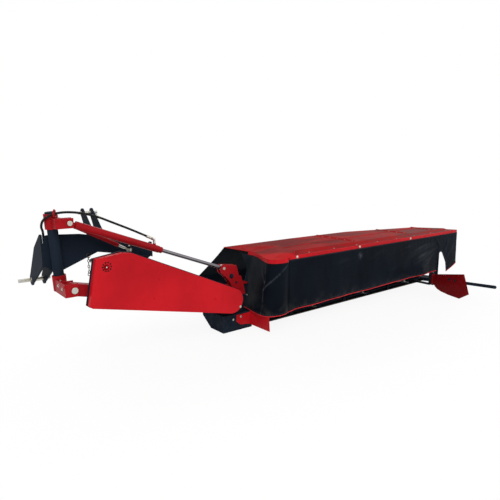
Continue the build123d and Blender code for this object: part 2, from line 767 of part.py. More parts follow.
def input_shaft():
    """Splined stub that takes the drive shaft from the tractor."""
    y0 = GUARD_REAR_Y + GUARD_DEPTH + CASING_DEPTH + SEAT_GAP
    y1 = ARM_Y1 + INPUT_SHAFT_REACH
    shaft = along_y(DRIVE_X, y0, y1, DRIVE_Z, INPUT_SHAFT_R)
    for index in range(SPLINE_COUNT):
        angle = 2 * math.pi * index / SPLINE_COUNT
        x = DRIVE_X + INPUT_SHAFT_R * math.cos(angle)
        z = DRIVE_Z + INPUT_SHAFT_R * math.sin(angle)
        shaft = shaft - along_y(x, ARM_Y1 + 30, y1 + 5, z, SPLINE_DEPTH)
    return shaft


def pivot_post():
    return lean(upright(POST_X, POST_Y, POST_FOOT_Z, POST_TOP_Z, POST_R))


def sleeve(z0, height):
    outer = upright(POST_X, POST_Y, z0, z0 + height, POST_R + SLEEVE_WALL)
    return lean(outer - upright(POST_X, POST_Y, z0 - 5, z0 + height + 5, POST_R + SLEEVE_GAP))


def post_clearance(z0, z1):
    return lean(upright(POST_X, POST_Y, z0, z1, POST_R + SLEEVE_GAP))


def low_bracket():
    """Lower sleeve on the post with the fork that holds the drive arm's eye."""
    body = sleeve(LOW_SLEEVE_Z, LOW_SLEEVE_H)
    z0 = LOW_SLEEVE_Z
    z1 = LOW_SLEEVE_Z + 84
    x0 = POST_X - POST_R - 6
    x1 = ARM_PIN_X + 26
    rear = block(x0, x1, ARM_Y0 - 22, ARM_Y0 - 10, z0 - 4, z1)
    front = block(x0, x1, ARM_Y1 + 10, ARM_Y1 + 22, z0 - 4, z1)
    web = block(x0, x0 + 10, ARM_Y0 - 22, POST_Y, z0 - 4, z1)
    link = block(x0, POST_X + 20, ARM_Y1 + 22, POST_Y, z0 + 10, z1 - 10)
    body = body + rear + front + web + link
    body = body - post_clearance(z0 - 60, z1 + 80)
    return body - along_y(ARM_PIN_X, 0, 300, ARM_PIN_Z, ARM_PIN_R + RUNNING_GAP)


def arm_pin():
    pin = along_y(ARM_PIN_X, ARM_Y0 - 24, ARM_Y1 + 24, ARM_PIN_Z, ARM_PIN_R)
    return pin + along_y(ARM_PIN_X, ARM_Y0 - 32, ARM_Y0 - 22 - SEAT_GAP, ARM_PIN_Z, ARM_PIN_R + 7)


def top_bracket():
    """Upper sleeve on the post with the fork for the lift cylinder's eye."""
    body = sleeve(TOP_SLEEVE_Z, TOP_SLEEVE_H)
    half = EYE_WIDTH / 2 + 2
    x0 = CYLINDER_PIN_X - 90
    x1 = CYLINDER_PIN_X + 26
    z0 = CYLINDER_PIN_Z - 34
    z1 = CYLINDER_PIN_Z + 34
    rear = block(x0, x1, CYLINDER_Y - half - CHEEK, CYLINDER_Y - half, z0, z1)
    front = block(x0, x1, CYLINDER_Y + half, CYLINDER_Y + half + CHEEK, z0, z1)
    web = block(x0, x0 + 10, CYLINDER_Y - half - CHEEK, POST_Y - 20, z0, z1)
    link = block(x0, POST_X + 10, CYLINDER_Y + half + CHEEK, POST_Y, z0, z1)
    body = body + rear + front + web + link
    near = Vector(*BREAK_NEAR)
    for z in (near.Z - BREAK_EYE_WIDTH / 2 - EAR_GAP - 8, near.Z + BREAK_EYE_WIDTH / 2 + EAR_GAP):
        body = body + block(POST_X, near.X + 13, POST_Y - 18, POST_Y + 18, z, z + 8)
    body = body - post_clearance(z0 - 60, z1 + 80)
    body = body - along_y(CYLINDER_PIN_X, 0, POST_Y, CYLINDER_PIN_Z, CYLINDER_PIN_R + RUNNING_GAP)
    body = body - upright(near.X, near.Y, near.Z - 60, near.Z + 60, BREAK_PIN_R + RUNNING_GAP)
    return body


def hose_loop():
    """Wire loop on the upper bracket that guides the hose."""
    ring = Torus(LOOP_R, LOOP_WIRE_R)
    z = CYLINDER_PIN_Z + 34 + LOOP_R + LOOP_WIRE_R + SEAT_GAP
    return Pos(LOOP_X, LOOP_Y, z) * Rot(0, 0, LOOP_TURN) * Rot(0, 90, 0) * ring


def lift_hose():
    """Hose that leaves the barrel's elbow, runs through the ring and hangs behind the plate."""
    runs = [Vector(*b) - Vector(*a) for a, b in zip(HOSE_PATH[:-1], HOSE_PATH[1:])]
    radii = []
    for before, after in zip(runs[:-1], runs[1:]):
        half_turn = math.radians(before.get_angle(after) / 2)
        radii.append(0.45 * min(before.length, after.length) / math.tan(half_turn))
    line = FilletPolyline(*HOSE_PATH, radius=radii)
    print("lift hose", round(line.length, 1), "mm, radii", [round(r) for r in radii])
    section = Plane(origin=HOSE_PATH[0], z_dir=runs[0]) * Circle(HOSE_R)
    return sweep(section, path=line)


def hose_coupler():
    """Quick coupler at the hose's free end, with its collar."""
    x, y, z = HOSE_PATH[-1]
    body = upright(x, y, z - COUPLER_LENGTH, z - SEAT_GAP, COUPLER_R - 2)
    return body + upright(x, y, z - COUPLER_LENGTH * 0.7, z - COUPLER_LENGTH * 0.25, COUPLER_R)


def cylinder_pin():
    half = EYE_WIDTH / 2 + 2 + CHEEK
    pin = along_y(CYLINDER_PIN_X, CYLINDER_Y - half - 2, CYLINDER_Y + half + 8, CYLINDER_PIN_Z, CYLINDER_PIN_R)
    head = along_y(
        CYLINDER_PIN_X, CYLINDER_Y - half - 8, CYLINDER_Y - half - SEAT_GAP, CYLINDER_PIN_Z, CYLINDER_PIN_R + 5
    )
    return pin + head


def break_pin():
    near = Vector(*BREAK_NEAR)
    half = BREAK_EYE_WIDTH / 2 + 12
    return upright(near.X, near.Y, near.Z - half, near.Z + half, BREAK_PIN_R)


def cylinder_line():
    start = Vector(CYLINDER_PIN_X, CYLINDER_Y, CYLINDER_PIN_Z)
    end = Vector(ROD_EYE_X, CYLINDER_Y, ROD_EYE_Z)
    return start, end, (end - start).normalized()


def cylinder_barrel():
    """Barrel with its rear eye, gland nut and hose port, bored for the rod."""
    start, end, way = cylinder_line()
    eye = along_y(start.X, CYLINDER_Y - EYE_WIDTH / 2, CYLINDER_Y + EYE_WIDTH / 2, start.Z, EYE_R)
    tube = bar_between(start + way * (EYE_R + 18), start + way * BARREL_LENGTH, BARREL_R)
    gland = bar_between(start + way * BARREL_LENGTH, start + way * (BARREL_LENGTH + 28), BARREL_R - 3)
    neck = bar_between(start, start + way * (EYE_R + 30), EYE_WIDTH / 2 - 1)
    body = eye + neck + tube + gland
    port = start + way * (BARREL_LENGTH - PORT_BACK)
    corner = port + Vector(0, 0, ELBOW_RISE)
    body = body + bar_between(port, port + Vector(0, 0, BARREL_R + 10), ELBOW_R + 3)
    body = body + bar_between(port, corner + Vector(0, 0, PORT_PIPE_R), PORT_PIPE_R)
    away = (Vector(*HOSE_PATH[0]) - corner).normalized()
    body = body + bar_between(corner, Vector(*HOSE_PATH[0]) - away * SEAT_GAP, ELBOW_R)
    body = body - along_y(start.X, 0, 200, start.Z, CYLINDER_PIN_R + RUNNING_GAP)
    body = body - bar_between(start + way * (EYE_R + 40), start + way * (BARREL_LENGTH + 40), ROD_R + RUNNING_GAP)
    return body


def cylinder_rod():
    start, end, way = cylinder_line()
    rod = bar_between(start + way * (EYE_R + ROD_START), end - way * (EYE_R - 4), ROD_R)
    eye = along_y(end.X, CYLINDER_Y - EYE_WIDTH / 2, CYLINDER_Y + EYE_WIDTH / 2, end.Z, EYE_R)
    return rod + eye


def break_line():
    start = Vector(*BREAK_NEAR)
    end = Vector(*BREAK_FAR)
    return start, end, (end - start).normalized()


def break_tube():
    start, end, way = break_line()
    half = BREAK_EYE_WIDTH / 2
    eye = upright(start.X, start.Y, start.Z - half, start.Z + half, BREAK_EYE_R)
    neck = bar_between(start + way * (BREAK_EYE_R - 4), start + way * (BREAK_EYE_R + 30), BREAK_NECK_R)
    tube = bar_between(start + way * (BREAK_EYE_R + 22), start + way * BREAK_TUBE_LENGTH, BREAK_TUBE_R)
    body = eye + neck + tube - upright(start.X, start.Y, start.Z - 60, start.Z + 60, BREAK_PIN_R + RUNNING_GAP)
    bore = bar_between(start + way * 60, start + way * (BREAK_TUBE_LENGTH + 5), BREAK_ROD_R + RUNNING_GAP)
    return body - bore


def break_rod():
    start, end, way = break_line()
    half = BREAK_EYE_WIDTH / 2
    rod = bar_between(start + way * 180, end - way * (BREAK_EYE_R + 20), BREAK_ROD_R)
    rod = rod + bar_between(end - way * (BREAK_EYE_R + 24), end - way * (BREAK_EYE_R - 4), BREAK_NECK_R)
    return rod + upright(end.X, end.Y, end.Z - half, end.Z + half, BREAK_EYE_R)


def stock_plate():
    """Transverse plate of the headstock with the seats of post and break-away bar."""
    y0 = STOCK_PLATE_Y
    y1 = STOCK_PLATE_Y + STOCK_PLATE
    points = [
        (-2295, 730),
        (-2300, 800),
        (-2272, 938),
        (-2235, 942),
        (-2030, 930),
        (-1560, 836),
        (-1470, 800),
        (-1470, 700),
        (-1560, 720),
        (-1910, 786),
        (-2185, 676),
        (-2225, 676),
    ]
    plate = outline_xz(points, y0, y1)
    far = Vector(*BREAK_FAR)
    half = BREAK_EYE_WIDTH / 2 + FAR_EAR_GAP
    for z in (far.Z - half - EAR_PLATE, far.Z + half):
        plate = plate + block(far.X - 11, far.X + 18, far.Y - 18, y0, z, z + EAR_PLATE)
    plate = plate + lean(block(POST_X - 14, POST_X + 14, POST_Y + POST_R - 2, y0, 700, 940))
    return plate - lean(upright(POST_X, POST_Y, POST_FOOT_Z, POST_TOP_Z, POST_R))


def far_pin():
    """The two ends of the break-away bar's far pin that show outside its ears."""
    far = Vector(*BREAK_FAR)
    half = BREAK_EYE_WIDTH / 2 + FAR_EAR_GAP + EAR_PLATE + SEAT_GAP
    low = upright(far.X, far.Y, far.Z - half - PIN_HEAD, far.Z - half, BREAK_PIN_R)
    high = upright(far.X, far.Y, far.Z + half, far.Z + half + PIN_HEAD, BREAK_PIN_R)
    return Compound(children=[low, high])


def lug_pair(x):
    """Two cheek plates that run forward and down from the plate to a hitch pin."""
    y0 = STOCK_PLATE_Y + STOCK_PLATE
    nose = []
    for degrees in range(-150, 61, 30):
        turn = math.radians(degrees)
        nose.append((HITCH_Y + LUG_NOSE_R * math.cos(turn), HITCH_Z + LUG_NOSE_R * math.sin(turn)))
    top = 944 if x < MAST_X else 816
    low = 720 if x < MAST_X else 716
    outline = [(y0, low)] + nose + [(y0 + 190, top - 110), (y0 + 30, top), (y0, top)]
    pair = None
    for side in (-1, 1):
        near = x + side * LUG_GAP / 2
        plate = outline_yz(outline, min(near, near + side * LUG_PLATE), max(near, near + side * LUG_PLATE))
        plate = plate - along_x(x - 200, x + 200, HITCH_Y, HITCH_Z, HITCH_SHANK_R)
        pair = plate if pair is None else pair + plate
    spacer = block(x - LUG_GAP / 2, x + LUG_GAP / 2, y0, y0 + 10, low + 20, top - 60)
    return pair + spacer


def hitch_pin(x, outward):
    """Shank through both lugs, the link ball's seat outside them and a thinner inner end."""
    half = LUG_GAP / 2 + LUG_PLATE
    face_out = x + outward * half
    face_in = x - outward * half
    reach_out = face_out + outward * HITCH_PIN_OUT
    reach_in = face_in - outward * HITCH_PIN_IN
    steps = [
        (face_in, face_out, HITCH_SHANK_R - RUNNING_GAP),
        (face_out, reach_out, HITCH_PIN_R),
        (face_in, reach_in, HITCH_END_R),
    ]
    pin = None
    for near, far, radius in steps:
        step = along_x(min(near, far), max(near, far), HITCH_Y, HITCH_Z, radius)
        pin = step if pin is None else pin + step
    return pin


def mast():
    """Two ears that lean forward to the top link's pin."""
    y0 = STOCK_PLATE_Y + STOCK_PLATE
    nose = []
    for degrees in range(-60, 151, 30):
        turn = math.radians(degrees)
        nose.append((MAST_PIN_Y + MAST_NOSE_R * math.cos(turn), MAST_PIN_Z + MAST_NOSE_R * math.sin(turn)))
    outline = [(y0, 790), (y0 + 90, 790)] + nose + [(y0, 900)]
    ears = None
    for side in (-1, 1):
        near = MAST_X + side * MAST_GAP / 2
        ear = outline_yz(outline, min(near, near + side * MAST_PLATE), max(near, near + side * MAST_PLATE))
        ear = ear - along_x(MAST_X - 200, MAST_X + 200, MAST_PIN_Y, MAST_PIN_Z, MAST_PIN_R)
        ears = ear if ears is None else ears + ear
    back = block(MAST_X - MAST_GAP / 2, MAST_X + MAST_GAP / 2, y0, y0 + 12, 800, 880)
    return ears + back


def mast_pin():
    half = MAST_GAP / 2 + MAST_PLATE
    pin = along_x(MAST_X - half - 26, MAST_X + half + 34, MAST_PIN_Y, MAST_PIN_Z, MAST_PIN_R - RUNNING_GAP)
    handle_x = MAST_X + half + 28
    handle = bar_between((handle_x, MAST_PIN_Y, MAST_PIN_Z), (handle_x, MAST_PIN_Y - 34, MAST_PIN_Z - 62), 6)
    return pin + handle


def inner_swath_board():
    """Fixed board behind the inner shoe that keeps the cut crop off the standing crop."""
    x = BAR_INNER_X - 34
    front = SHOE_REAR_Y - SEAT_GAP
    top = SHOE_TOP_Z - 10
    points = [(front, 34), (-200, 34), (-190, 158), (60, 158), (front, top)]
    board = outline_yz(points, x, x + SWATH_SHEET)
    foot = [(x, 34), (x - INNER_FLANGE * 0.7, 48), (x - INNER_FLANGE, 80), (x - INNER_FLANGE, top), (x, top)]
    return board + outline_xz(foot, front - SWATH_SHEET, front)


def swath_frame(shape):
    """Places what is drawn along the board: x runs back from the hinge, z is height."""
    return Pos(SWATH_HINGE_X, SWATH_HINGE_Y, 0) * Rot(0, 0, -90 - SWATH_ANGLE) * shape


def swath_board():
    """Board with its lower front corner rounded off, on a hinge tube."""
    half = SWATH_SHEET / 2
    low = [(30, 60), (62, 36), (110, 18), (180, 8), (320, 6), (505, 14)]
    points = low + [(655, 100), (556, 292), (30, 176)]
    plate = outline_xz(points, -half, half)
    tube = upright(0, 0, 60, SWATH_FORK_Z - 4, SWATH_PIN_R + 8)
    strap = block(4, 60, -half, half, 80, 150)
    body = plate + tube + strap
    body = body - upright(0, 0, 40, 220, SWATH_PIN_R + RUNNING_GAP)
    return swath_frame(body)


def swath_stick():
    """Rod clamped to the board's outer face, trailing behind it."""
    y = SWATH_SHEET / 2 + STICK_R + SEAT_GAP
    rod = bar_between((390, y, 172), (1000, y, 264), STICK_R)
    return swath_frame(rod)


def swath_arm():
    """Flat arm behind the last skid with the fork of the board's hinge."""
    x = SWATH_HINGE_X
    y = SWATH_HINGE_Y
    rear = BAR_Y - BAR_WIDTH / 2
    arm = block(x - 30, x + 30, y + 20, rear - SEAT_GAP, 40, 52)
    post = block(x - 24, x + 24, y + 20, y + 36, 40, SWATH_FORK_Z + 12)
    body = arm + post
    for z0 in (44, SWATH_FORK_Z):
        body = body + block(x - 20, x + 20, y - 20, y + 36, z0, z0 + 12)
    return body - upright(x, y, 30, 220, SWATH_PIN_R)


def swath_pin():
    return upright(SWATH_HINGE_X, SWATH_HINGE_Y, 40, SWATH_FORK_Z + 16, SWATH_PIN_R - RUNNING_GAP)


def parts():
    made = {
        "cutter_bar": cutter_bar(),
        "skids": skids(),
        "inner_shoe": inner_shoe(),
        "gearbox": gearbox(),
        "lift_bracket": lift_bracket(),
        "rod_eye_pin": eye_pin(),
        "hood_top": hood_top(),
        "hood_rim": hood_rim(),
        "hood_corner": hood_corner(),
        "hood_frame": hood_frame(),
        "outer_shoe": outer_shoe(),
        "tarp_rear": tarp_rear(),
        "tarp_corner": tarp_corner(),
        "tarp_front": tarp_front(),
        "tarp_outer": tarp_outer(),
        "inner_swath_board": inner_swath_board(),
        "swath_arm": swath_arm(),
        "swath_pin": swath_pin(),
        "swath_board": swath_board(),
        "swath_stick": swath_stick(),
        "arm_beam": arm_beam(),
        "belt_guard": belt_guard(),
        "belt_casing": belt_casing(),
        "input_shaft": input_shaft(),
        "low_bracket": low_bracket(),
        "arm_pin": arm_pin(),
        "top_bracket": top_bracket(),
        "hose_loop": hose_loop(),
        "lift_hose": lift_hose(),
        "hose_coupler": hose_coupler(),
        "cylinder_pin": cylinder_pin(),
        "break_pin": break_pin(),
        "cylinder_barrel": cylinder_barrel(),
        "cylinder_rod": cylinder_rod(),
        "break_tube": break_tube(),
        "break_rod": break_rod(),
        "pivot_post": pivot_post(),
        "stock_plate": stock_plate(),
        "far_pin": far_pin(),
        "mast": mast(),
        "mast_pin": mast_pin(),
    }
    left = HITCH_LEFT_X
    right = HITCH_LEFT_X + HITCH_SPACING
    made["lugs_left"] = lug_pair(left)
    made["lugs_right"] = lug_pair(right)
    made["hitch_pin_left"] = hitch_pin(left, -1)
    made["hitch_pin_right"] = hitch_pin(right, 1)
    for index in range(DISC_COUNT):
        made["disc_" + str(index + 1)] = disc(index)
    return made


os.makedirs("parts", exist_ok=True)
for name, shape in parts().items():
    export_step(solids_of(Pos(*MIDDLE).inverse() * shape), "parts/" + name + ".step")
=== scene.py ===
"""Dresses a packed side-mounted disc mower: enamel, tarps, lift hose, fasteners and a studio."""
import json
import math

import bmesh
import bpy
from bpy.props import FloatProperty, FloatVectorProperty, IntProperty, PointerProperty
from mathutils import Matrix, Vector, noise
from mathutils.bvhtree import BVHTree

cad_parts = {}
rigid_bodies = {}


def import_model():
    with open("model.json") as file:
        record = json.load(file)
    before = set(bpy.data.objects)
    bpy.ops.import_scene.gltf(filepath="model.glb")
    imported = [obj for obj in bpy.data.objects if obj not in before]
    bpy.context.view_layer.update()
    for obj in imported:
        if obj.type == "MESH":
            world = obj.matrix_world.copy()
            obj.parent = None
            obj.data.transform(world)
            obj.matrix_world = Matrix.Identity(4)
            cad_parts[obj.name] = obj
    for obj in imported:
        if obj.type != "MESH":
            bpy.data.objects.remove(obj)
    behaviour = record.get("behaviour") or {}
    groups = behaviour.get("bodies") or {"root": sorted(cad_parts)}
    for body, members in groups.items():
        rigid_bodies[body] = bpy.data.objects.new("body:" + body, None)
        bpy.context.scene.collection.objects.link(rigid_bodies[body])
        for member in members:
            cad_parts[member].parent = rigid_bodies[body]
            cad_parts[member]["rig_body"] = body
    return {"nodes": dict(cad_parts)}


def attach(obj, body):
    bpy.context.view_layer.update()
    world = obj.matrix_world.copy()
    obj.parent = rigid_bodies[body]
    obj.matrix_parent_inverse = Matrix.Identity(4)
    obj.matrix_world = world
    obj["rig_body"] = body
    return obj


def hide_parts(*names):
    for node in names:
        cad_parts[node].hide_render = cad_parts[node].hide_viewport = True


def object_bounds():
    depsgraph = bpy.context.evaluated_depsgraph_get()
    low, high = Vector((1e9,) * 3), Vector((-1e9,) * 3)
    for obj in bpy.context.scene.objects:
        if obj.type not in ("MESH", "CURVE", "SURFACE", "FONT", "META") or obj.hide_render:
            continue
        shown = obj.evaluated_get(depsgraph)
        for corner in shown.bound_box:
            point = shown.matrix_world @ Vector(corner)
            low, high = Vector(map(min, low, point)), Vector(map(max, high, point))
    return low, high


bl_info = {
    "name": "Disc Mower Dressing",
    "version": (1, 0, 0),
    "blender": (4, 5, 0),
    "location": "3D Viewport > Sidebar > Mower",
    "description": "Finishes, tarps, lift hose and fasteners for a side-mounted disc mower",
    "category": "Object",
}

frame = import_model()
CAD_BOX = [list(corner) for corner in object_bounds()]


def paint_level(red, green, blue):
    """Linear colour of a shade given from 0 to 255."""
    shade = []
    for value in (red, green, blue):
        level = value / 255
        shade.append(level / 12.92 if level <= 0.04045 else ((level + 0.055) / 1.055) ** 2.4)
    return (*shade, 1.0)


def scaled(colour, factor):
    """The same colour, darker or lighter."""
    return (*[min(1.0, part * factor) for part in colour[:3]], 1.0)


DUST = paint_level(150, 141, 126)
RUST = paint_level(92, 70, 52)
WHITE = (1.0, 1.0, 1.0, 1.0)
EVEN = (1.0, 1.0, 1.0)
REAR = Vector((0, -1, 0))
FRONT = Vector((0, 1, 0))
UP = Vector((0, 0, 1))
DOWN = Vector((0, 0, -1))
LEFT = Vector((-1, 0, 0))
RIGHT = Vector((1, 0, 0))


def colour_setting(name, description, *levels):
    return FloatVectorProperty(name=name, description=description, subtype="COLOR", size=4, min=0.0, max=1.0,
                               default=paint_level(*levels))


def length_setting(name, description, metres):
    return FloatProperty(name=name, description=description, subtype="DISTANCE", unit="LENGTH", min=0.0,
                         default=metres)


class PaintSettings(bpy.types.PropertyGroup):
    """Colours of the enamel."""
    guard_red: colour_setting("Guard red", "Enamel of the belt guard and the swath boards", 186, 24, 33)
    arm_red: colour_setting("Arm red", "Enamel of the arm, brackets and cylinder", 154, 21, 28)
    hood_red: colour_setting("Hood red", "Enamel of the hood's edges", 188, 30, 34)
    # The hood's two sheen colours are painted sky reflection on its upward faces, paler towards the outer
    # end.
    hood_painted_sheen_inner: colour_setting("Hood painted sheen, inner", "Painted sky reflection on the upward faces of the hood's inner half", 112, 38, 38)
    hood_painted_sheen_outer: colour_setting("Hood painted sheen, outer", "Painted sky reflection on the upward faces of the hood's outer half", 122, 70, 68)
    # Painted shade: the outer swath board wears the guard's enamel; this darker copy of the guard red paints
    # the shade on its inner side.
    shaded_board_red: colour_setting("Board red, painted shade", "Guard red darkened into painted shade, for the outer swath board", 124, 9, 15)
    stock_black: colour_setting("Headstock black", "Enamel of the headstock", 30, 38, 49)
    disc_grey: colour_setting("Disc grey", "Enamel of the cutting discs", 96, 98, 99)


class ClothSettings(bpy.types.PropertyGroup):
    """Colours and folds of the tarps."""
    cloth_black: colour_setting("Tarp black", "Coated cloth of the tarps", 10, 16, 24)
    piping_red: colour_setting("Piping red", "Bound edge of the tarps", 186, 34, 42)
    fold_depth: length_setting("Fold depth", "How far the folds stand out at the hem", 0.009)
    piping_radius: length_setting("Piping radius", "Half the thickness of the bound edge", 0.0042)
    stitch_pitch: length_setting("Stitch pitch", "Distance between two stitches", 0.011)
    columns_per_metre: IntProperty(name="Columns", description="Columns of the cloth mesh in a metre", min=10,
                                   default=90)


class HardwareSettings(bpy.types.PropertyGroup):
    """Sizes of the fasteners and the chain."""
    head_height: FloatProperty(name="Head height", description="Height of a bolt's head over its radius",
                               subtype="FACTOR", min=0.1, max=2.0, default=0.62)
    washer_width: FloatProperty(name="Washer width", description="The washer's radius over the head's",
                                subtype="FACTOR", min=1.0, max=3.0, default=1.45)
    link_length: length_setting("Link length", "Length of a chain link", 0.026)
    link_wire: length_setting("Link wire", "Half the thickness of a chain link", 0.0026)


class StudioSettings(bpy.types.PropertyGroup):
    """Camera, lamps and floor."""
    camera_place: FloatVectorProperty(name="Camera", description="Where the camera stands", subtype="XYZ",
                                      unit="LENGTH", size=3, default=(-3.133, -2.897, 1.40))
    camera_pitch: FloatProperty(name="Pitch", description="How far the camera looks down", subtype="ANGLE",
                                default=math.radians(10.015))
    camera_heading: FloatProperty(name="Heading", description="The camera's heading from +Y towards +X",
                                  subtype="ANGLE", default=math.radians(38.5))
    lens: FloatProperty(name="Lens", description="Focal length on a 36 mm sensor", min=10.0, default=33.84)
    key_power: FloatProperty(name="Key lamp", description="Power of the large lamp", unit="POWER", min=0.0,
                             default=330.0)
    sky_level: FloatProperty(name="Sky level", description="Strength of the even light from all round",
                             min=0.0, default=0.55)


class Wire:
    """A socket of a node tree, so that values can be written as an expression."""

    def __init__(self, plan, socket):
        self.plan = plan
        self.socket = socket

    def maths(self, operation, first, second):
        return self.plan.node("ShaderNodeMath", {0: first, 1: second}, operation=operation)

    def __add__(self, other):
        return self.maths("ADD", self, other)

    def __radd__(self, other):
        return self.maths("ADD", other, self)

    def __sub__(self, other):
        return self.maths("SUBTRACT", self, other)

    def __rsub__(self, other):
        return self.maths("SUBTRACT", other, self)

    def __mul__(self, other):
        return self.maths("MULTIPLY", self, other)

    def __rmul__(self, other):
        return self.maths("MULTIPLY", other, self)


class Plan:
    """A node tree written from top to bottom."""

    def __init__(self, tree):
        self.tree = tree

    def node(self, kind, inputs=None, output=0, **options):
        """Adds a node: its options first, then the values or wires of its sockets."""
        made = self.tree.nodes.new(kind)
        for key, value in options.items():
            setattr(made, key, value)
        for key, value in (inputs or {}).items():
            if isinstance(value, Wire):
                self.tree.links.new(value.socket, made.inputs[key])
            else:
                made.inputs[key].default_value = value
        return Wire(self, made.outputs[output]) if made.outputs else None

    def mix(self, factor, first, second):
        return self.node("ShaderNodeMix", {0: factor, 6: first, 7: second}, 2, data_type="RGBA")

    def step(self, value, low, high, start=0.0, end=1.0):
        """Smooth change from start to end while the value runs from low to high."""
        sockets = {"Value": value, "From Min": low, "From Max": high, "To Min": start, "To Max": end}
        return self.node("ShaderNodeMapRange", sockets, interpolation_type="SMOOTHSTEP")

    def place(self, stretch=EVEN):
        """Object coordinates, stretched where the pattern runs one way."""
        found = self.node("ShaderNodeTexCoord", output="Object")
        return self.node("ShaderNodeMapping", {"Vector": found, "Scale": stretch})


class Finish(Plan):
    """A surface finish round one Principled shader."""

    def __init__(self, name, specular):
        self.material = bpy.data.materials.new(name)
        self.material.use_nodes = True
        super().__init__(self.material.node_tree)
        self.shader = self.tree.nodes["Principled BSDF"]
        self.shader.inputs["Specular IOR Level"].default_value = specular

    def coordinate(self, source, axis):
        """One axis of the object's coordinates or of its surface's direction."""
        found = self.node("ShaderNodeTexCoord", output=source)
        return self.node("ShaderNodeSeparateXYZ", {"Vector": found}, axis)

    def noise(self, scale, detail, stretch=EVEN, roughness=0.5):
        sockets = {"Vector": self.place(stretch), "Scale": scale, "Detail": detail, "Roughness": roughness}
        return self.node("ShaderNodeTexNoise", sockets)

    def patches(self, scale, detail, low, high, stretch=EVEN, roughness=0.5, start=0.0, end=1.0):
        """Blots of noise between two levels."""
        return self.step(self.noise(scale, detail, stretch, roughness), low, high, start, end)

    def wave(self, scale, direction, distortion=0.0):
        sockets = {"Vector": self.place(), "Scale": scale, "Distortion": distortion}
        return self.node("ShaderNodeTexWave", sockets, "Fac", bands_direction=direction)

    def varied(self, value, low, high, colour, painted_hole_shade, light):
        """A colour that goes from darker to lighter while the value runs from low to high."""
        return self.mix(self.step(value, low, high), scaled(colour, painted_hole_shade), scaled(colour, light))

    def attribute(self, name):
        return self.node("ShaderNodeAttribute", output="Fac", attribute_name=name)

    def bump(self, height, strength, distance, **under):
        sockets = {"Height": height, "Strength": strength, "Distance": distance, **under}
        return self.node("ShaderNodeBump", sockets)

    def feed(self, **sockets):
        for key, value in sockets.items():
            self.tree.links.new(value.socket, self.shader.inputs[key.replace("_", " ")])
        return self.material


def enamel(name, colour, roughness, dust, specular=0.12, painted_sheen=None, worn=None):
    """Sprayed enamel: cloudy, with orange peel, settled dust, worn edges and, if given, a painted sky
    reflection on its upward faces.
    """
    made = Finish(name, specular)
    up = made.coordinate("Normal", "Z")
    cloud = made.noise(2.4, 4.0)
    edge = made.attribute("edge") * made.patches(70.0, 5.0, 0.47, 0.60) * 0.55
    settled = made.step(up, 0.3, 0.95) * made.patches(7.0, 6.0, 0.35, 0.75) * dust
    low = made.step(made.coordinate("Object", "Z"), 0.0, 0.35, 1.0, 0.0)
    low = low * made.patches(24.0, 6.0, 0.45, 0.72) * dust
    shade = made.varied(cloud, 0.3, 0.7, colour, 0.86, 1.12)
    # Painted reflection: upward faces past the hood's inner end get a pale colour in blots, paler towards the
    # outer end, in place of the sky's reflection.
    if painted_sheen:
        reach = made.coordinate("Object", "X")
        inner = made.step(reach + 0.9 * made.coordinate("Object", "Y"), -0.42, -0.30)
        sheen_blots = made.patches(2.3, 4.0, 0.36, 0.58, (1.0, 2.2, 1.0), start=0.40, end=0.97)
        painted_sky_reflection = made.mix(made.step(reach, 0.1, 1.9), *painted_sheen)
        shade = made.mix(made.step(up, 0.820, 0.935) * inner * sheen_blots, shade, painted_sky_reflection)
    streak = made.patches(16.0, 6.0, 0.52, 0.78, (1.0, 1.0, 0.25), 0.6)
    shade = made.mix(streak * 0.35, shade, scaled(colour, 0.72))
    shade = made.mix(edge * 0.7, shade, worn or scaled(colour, 1.9))
    shade = made.mix(settled + low, shade, DUST)
    peel = made.bump(made.noise(380.0, 2.0), 0.10, 0.0004)
    sheet = made.bump(made.noise(3.6, 2.0), 0.10, 0.006, Normal=peel)
    gloss = roughness + 0.10 * cloud + 0.30 * settled + 0.12 * edge
    return made.feed(Base_Color=shade, Roughness=gloss, Normal=sheet)


def coated_cloth(name, colour, scuff_and_sheen_shade):
    """Coated tarp cloth: fine weave under the coating, pale rubs on creases and the hem, painted sheen on
    fold slopes and along drag folds, dust at the hem.
    """
    made = Finish(name, 0.03)
    up = made.coordinate("Normal", "Z")
    cloud = made.noise(2.1, 3.0)
    # Rubs are wear on creases and the hem, and painted sheen along the rear tarp's drag folds.
    rubs_and_sheen = made.attribute("scuff_and_sheen") * made.patches(60.0, 6.0, 0.36, 0.62, (1.0, 1.0, 0.4), 0.65)
    hem = made.step(made.coordinate("Object", "Z"), 0.15, 0.30, 1.0, 0.0)
    hem = hem * made.patches(19.0, 6.0, 0.46, 0.72) * 0.06
    # Painted sheen: fold slopes that face a little upwards get pale blots in place of the sky's reflection;
    # the cloth's specular is nearly off.
    painted_fold_sheen = made.step(up, 0.03, 0.55, 0.0, 0.8) * made.step(up, 0.30, 0.55, 1.0, 0.15)
    painted_fold_sheen = painted_fold_sheen * made.patches(9.0, 5.0, 0.30, 0.70, start=0.35)
    shade = made.varied(cloud, 0.3, 0.7, colour, 0.72, 1.30)
    shade = made.mix(painted_fold_sheen, shade, scaled(scuff_and_sheen_shade, 0.42))
    shade = made.mix(rubs_and_sheen * 0.8, shade, scuff_and_sheen_shade)
    shade = made.mix(hem, shade, DUST)
    weave = made.bump(made.wave(330.0, "X", 0.4) * made.wave(330.0, "Z", 0.4), 0.10, 0.0003)
    crumple = made.bump(made.noise(15.0, 2.0, (1.0, 1.0, 0.6), 0.45), 0.16, 0.006, Normal=weave)
    return made.feed(Base_Color=shade, Roughness=0.36 + 0.22 * cloud + 0.20 * rubs_and_sheen, Normal=crumple)


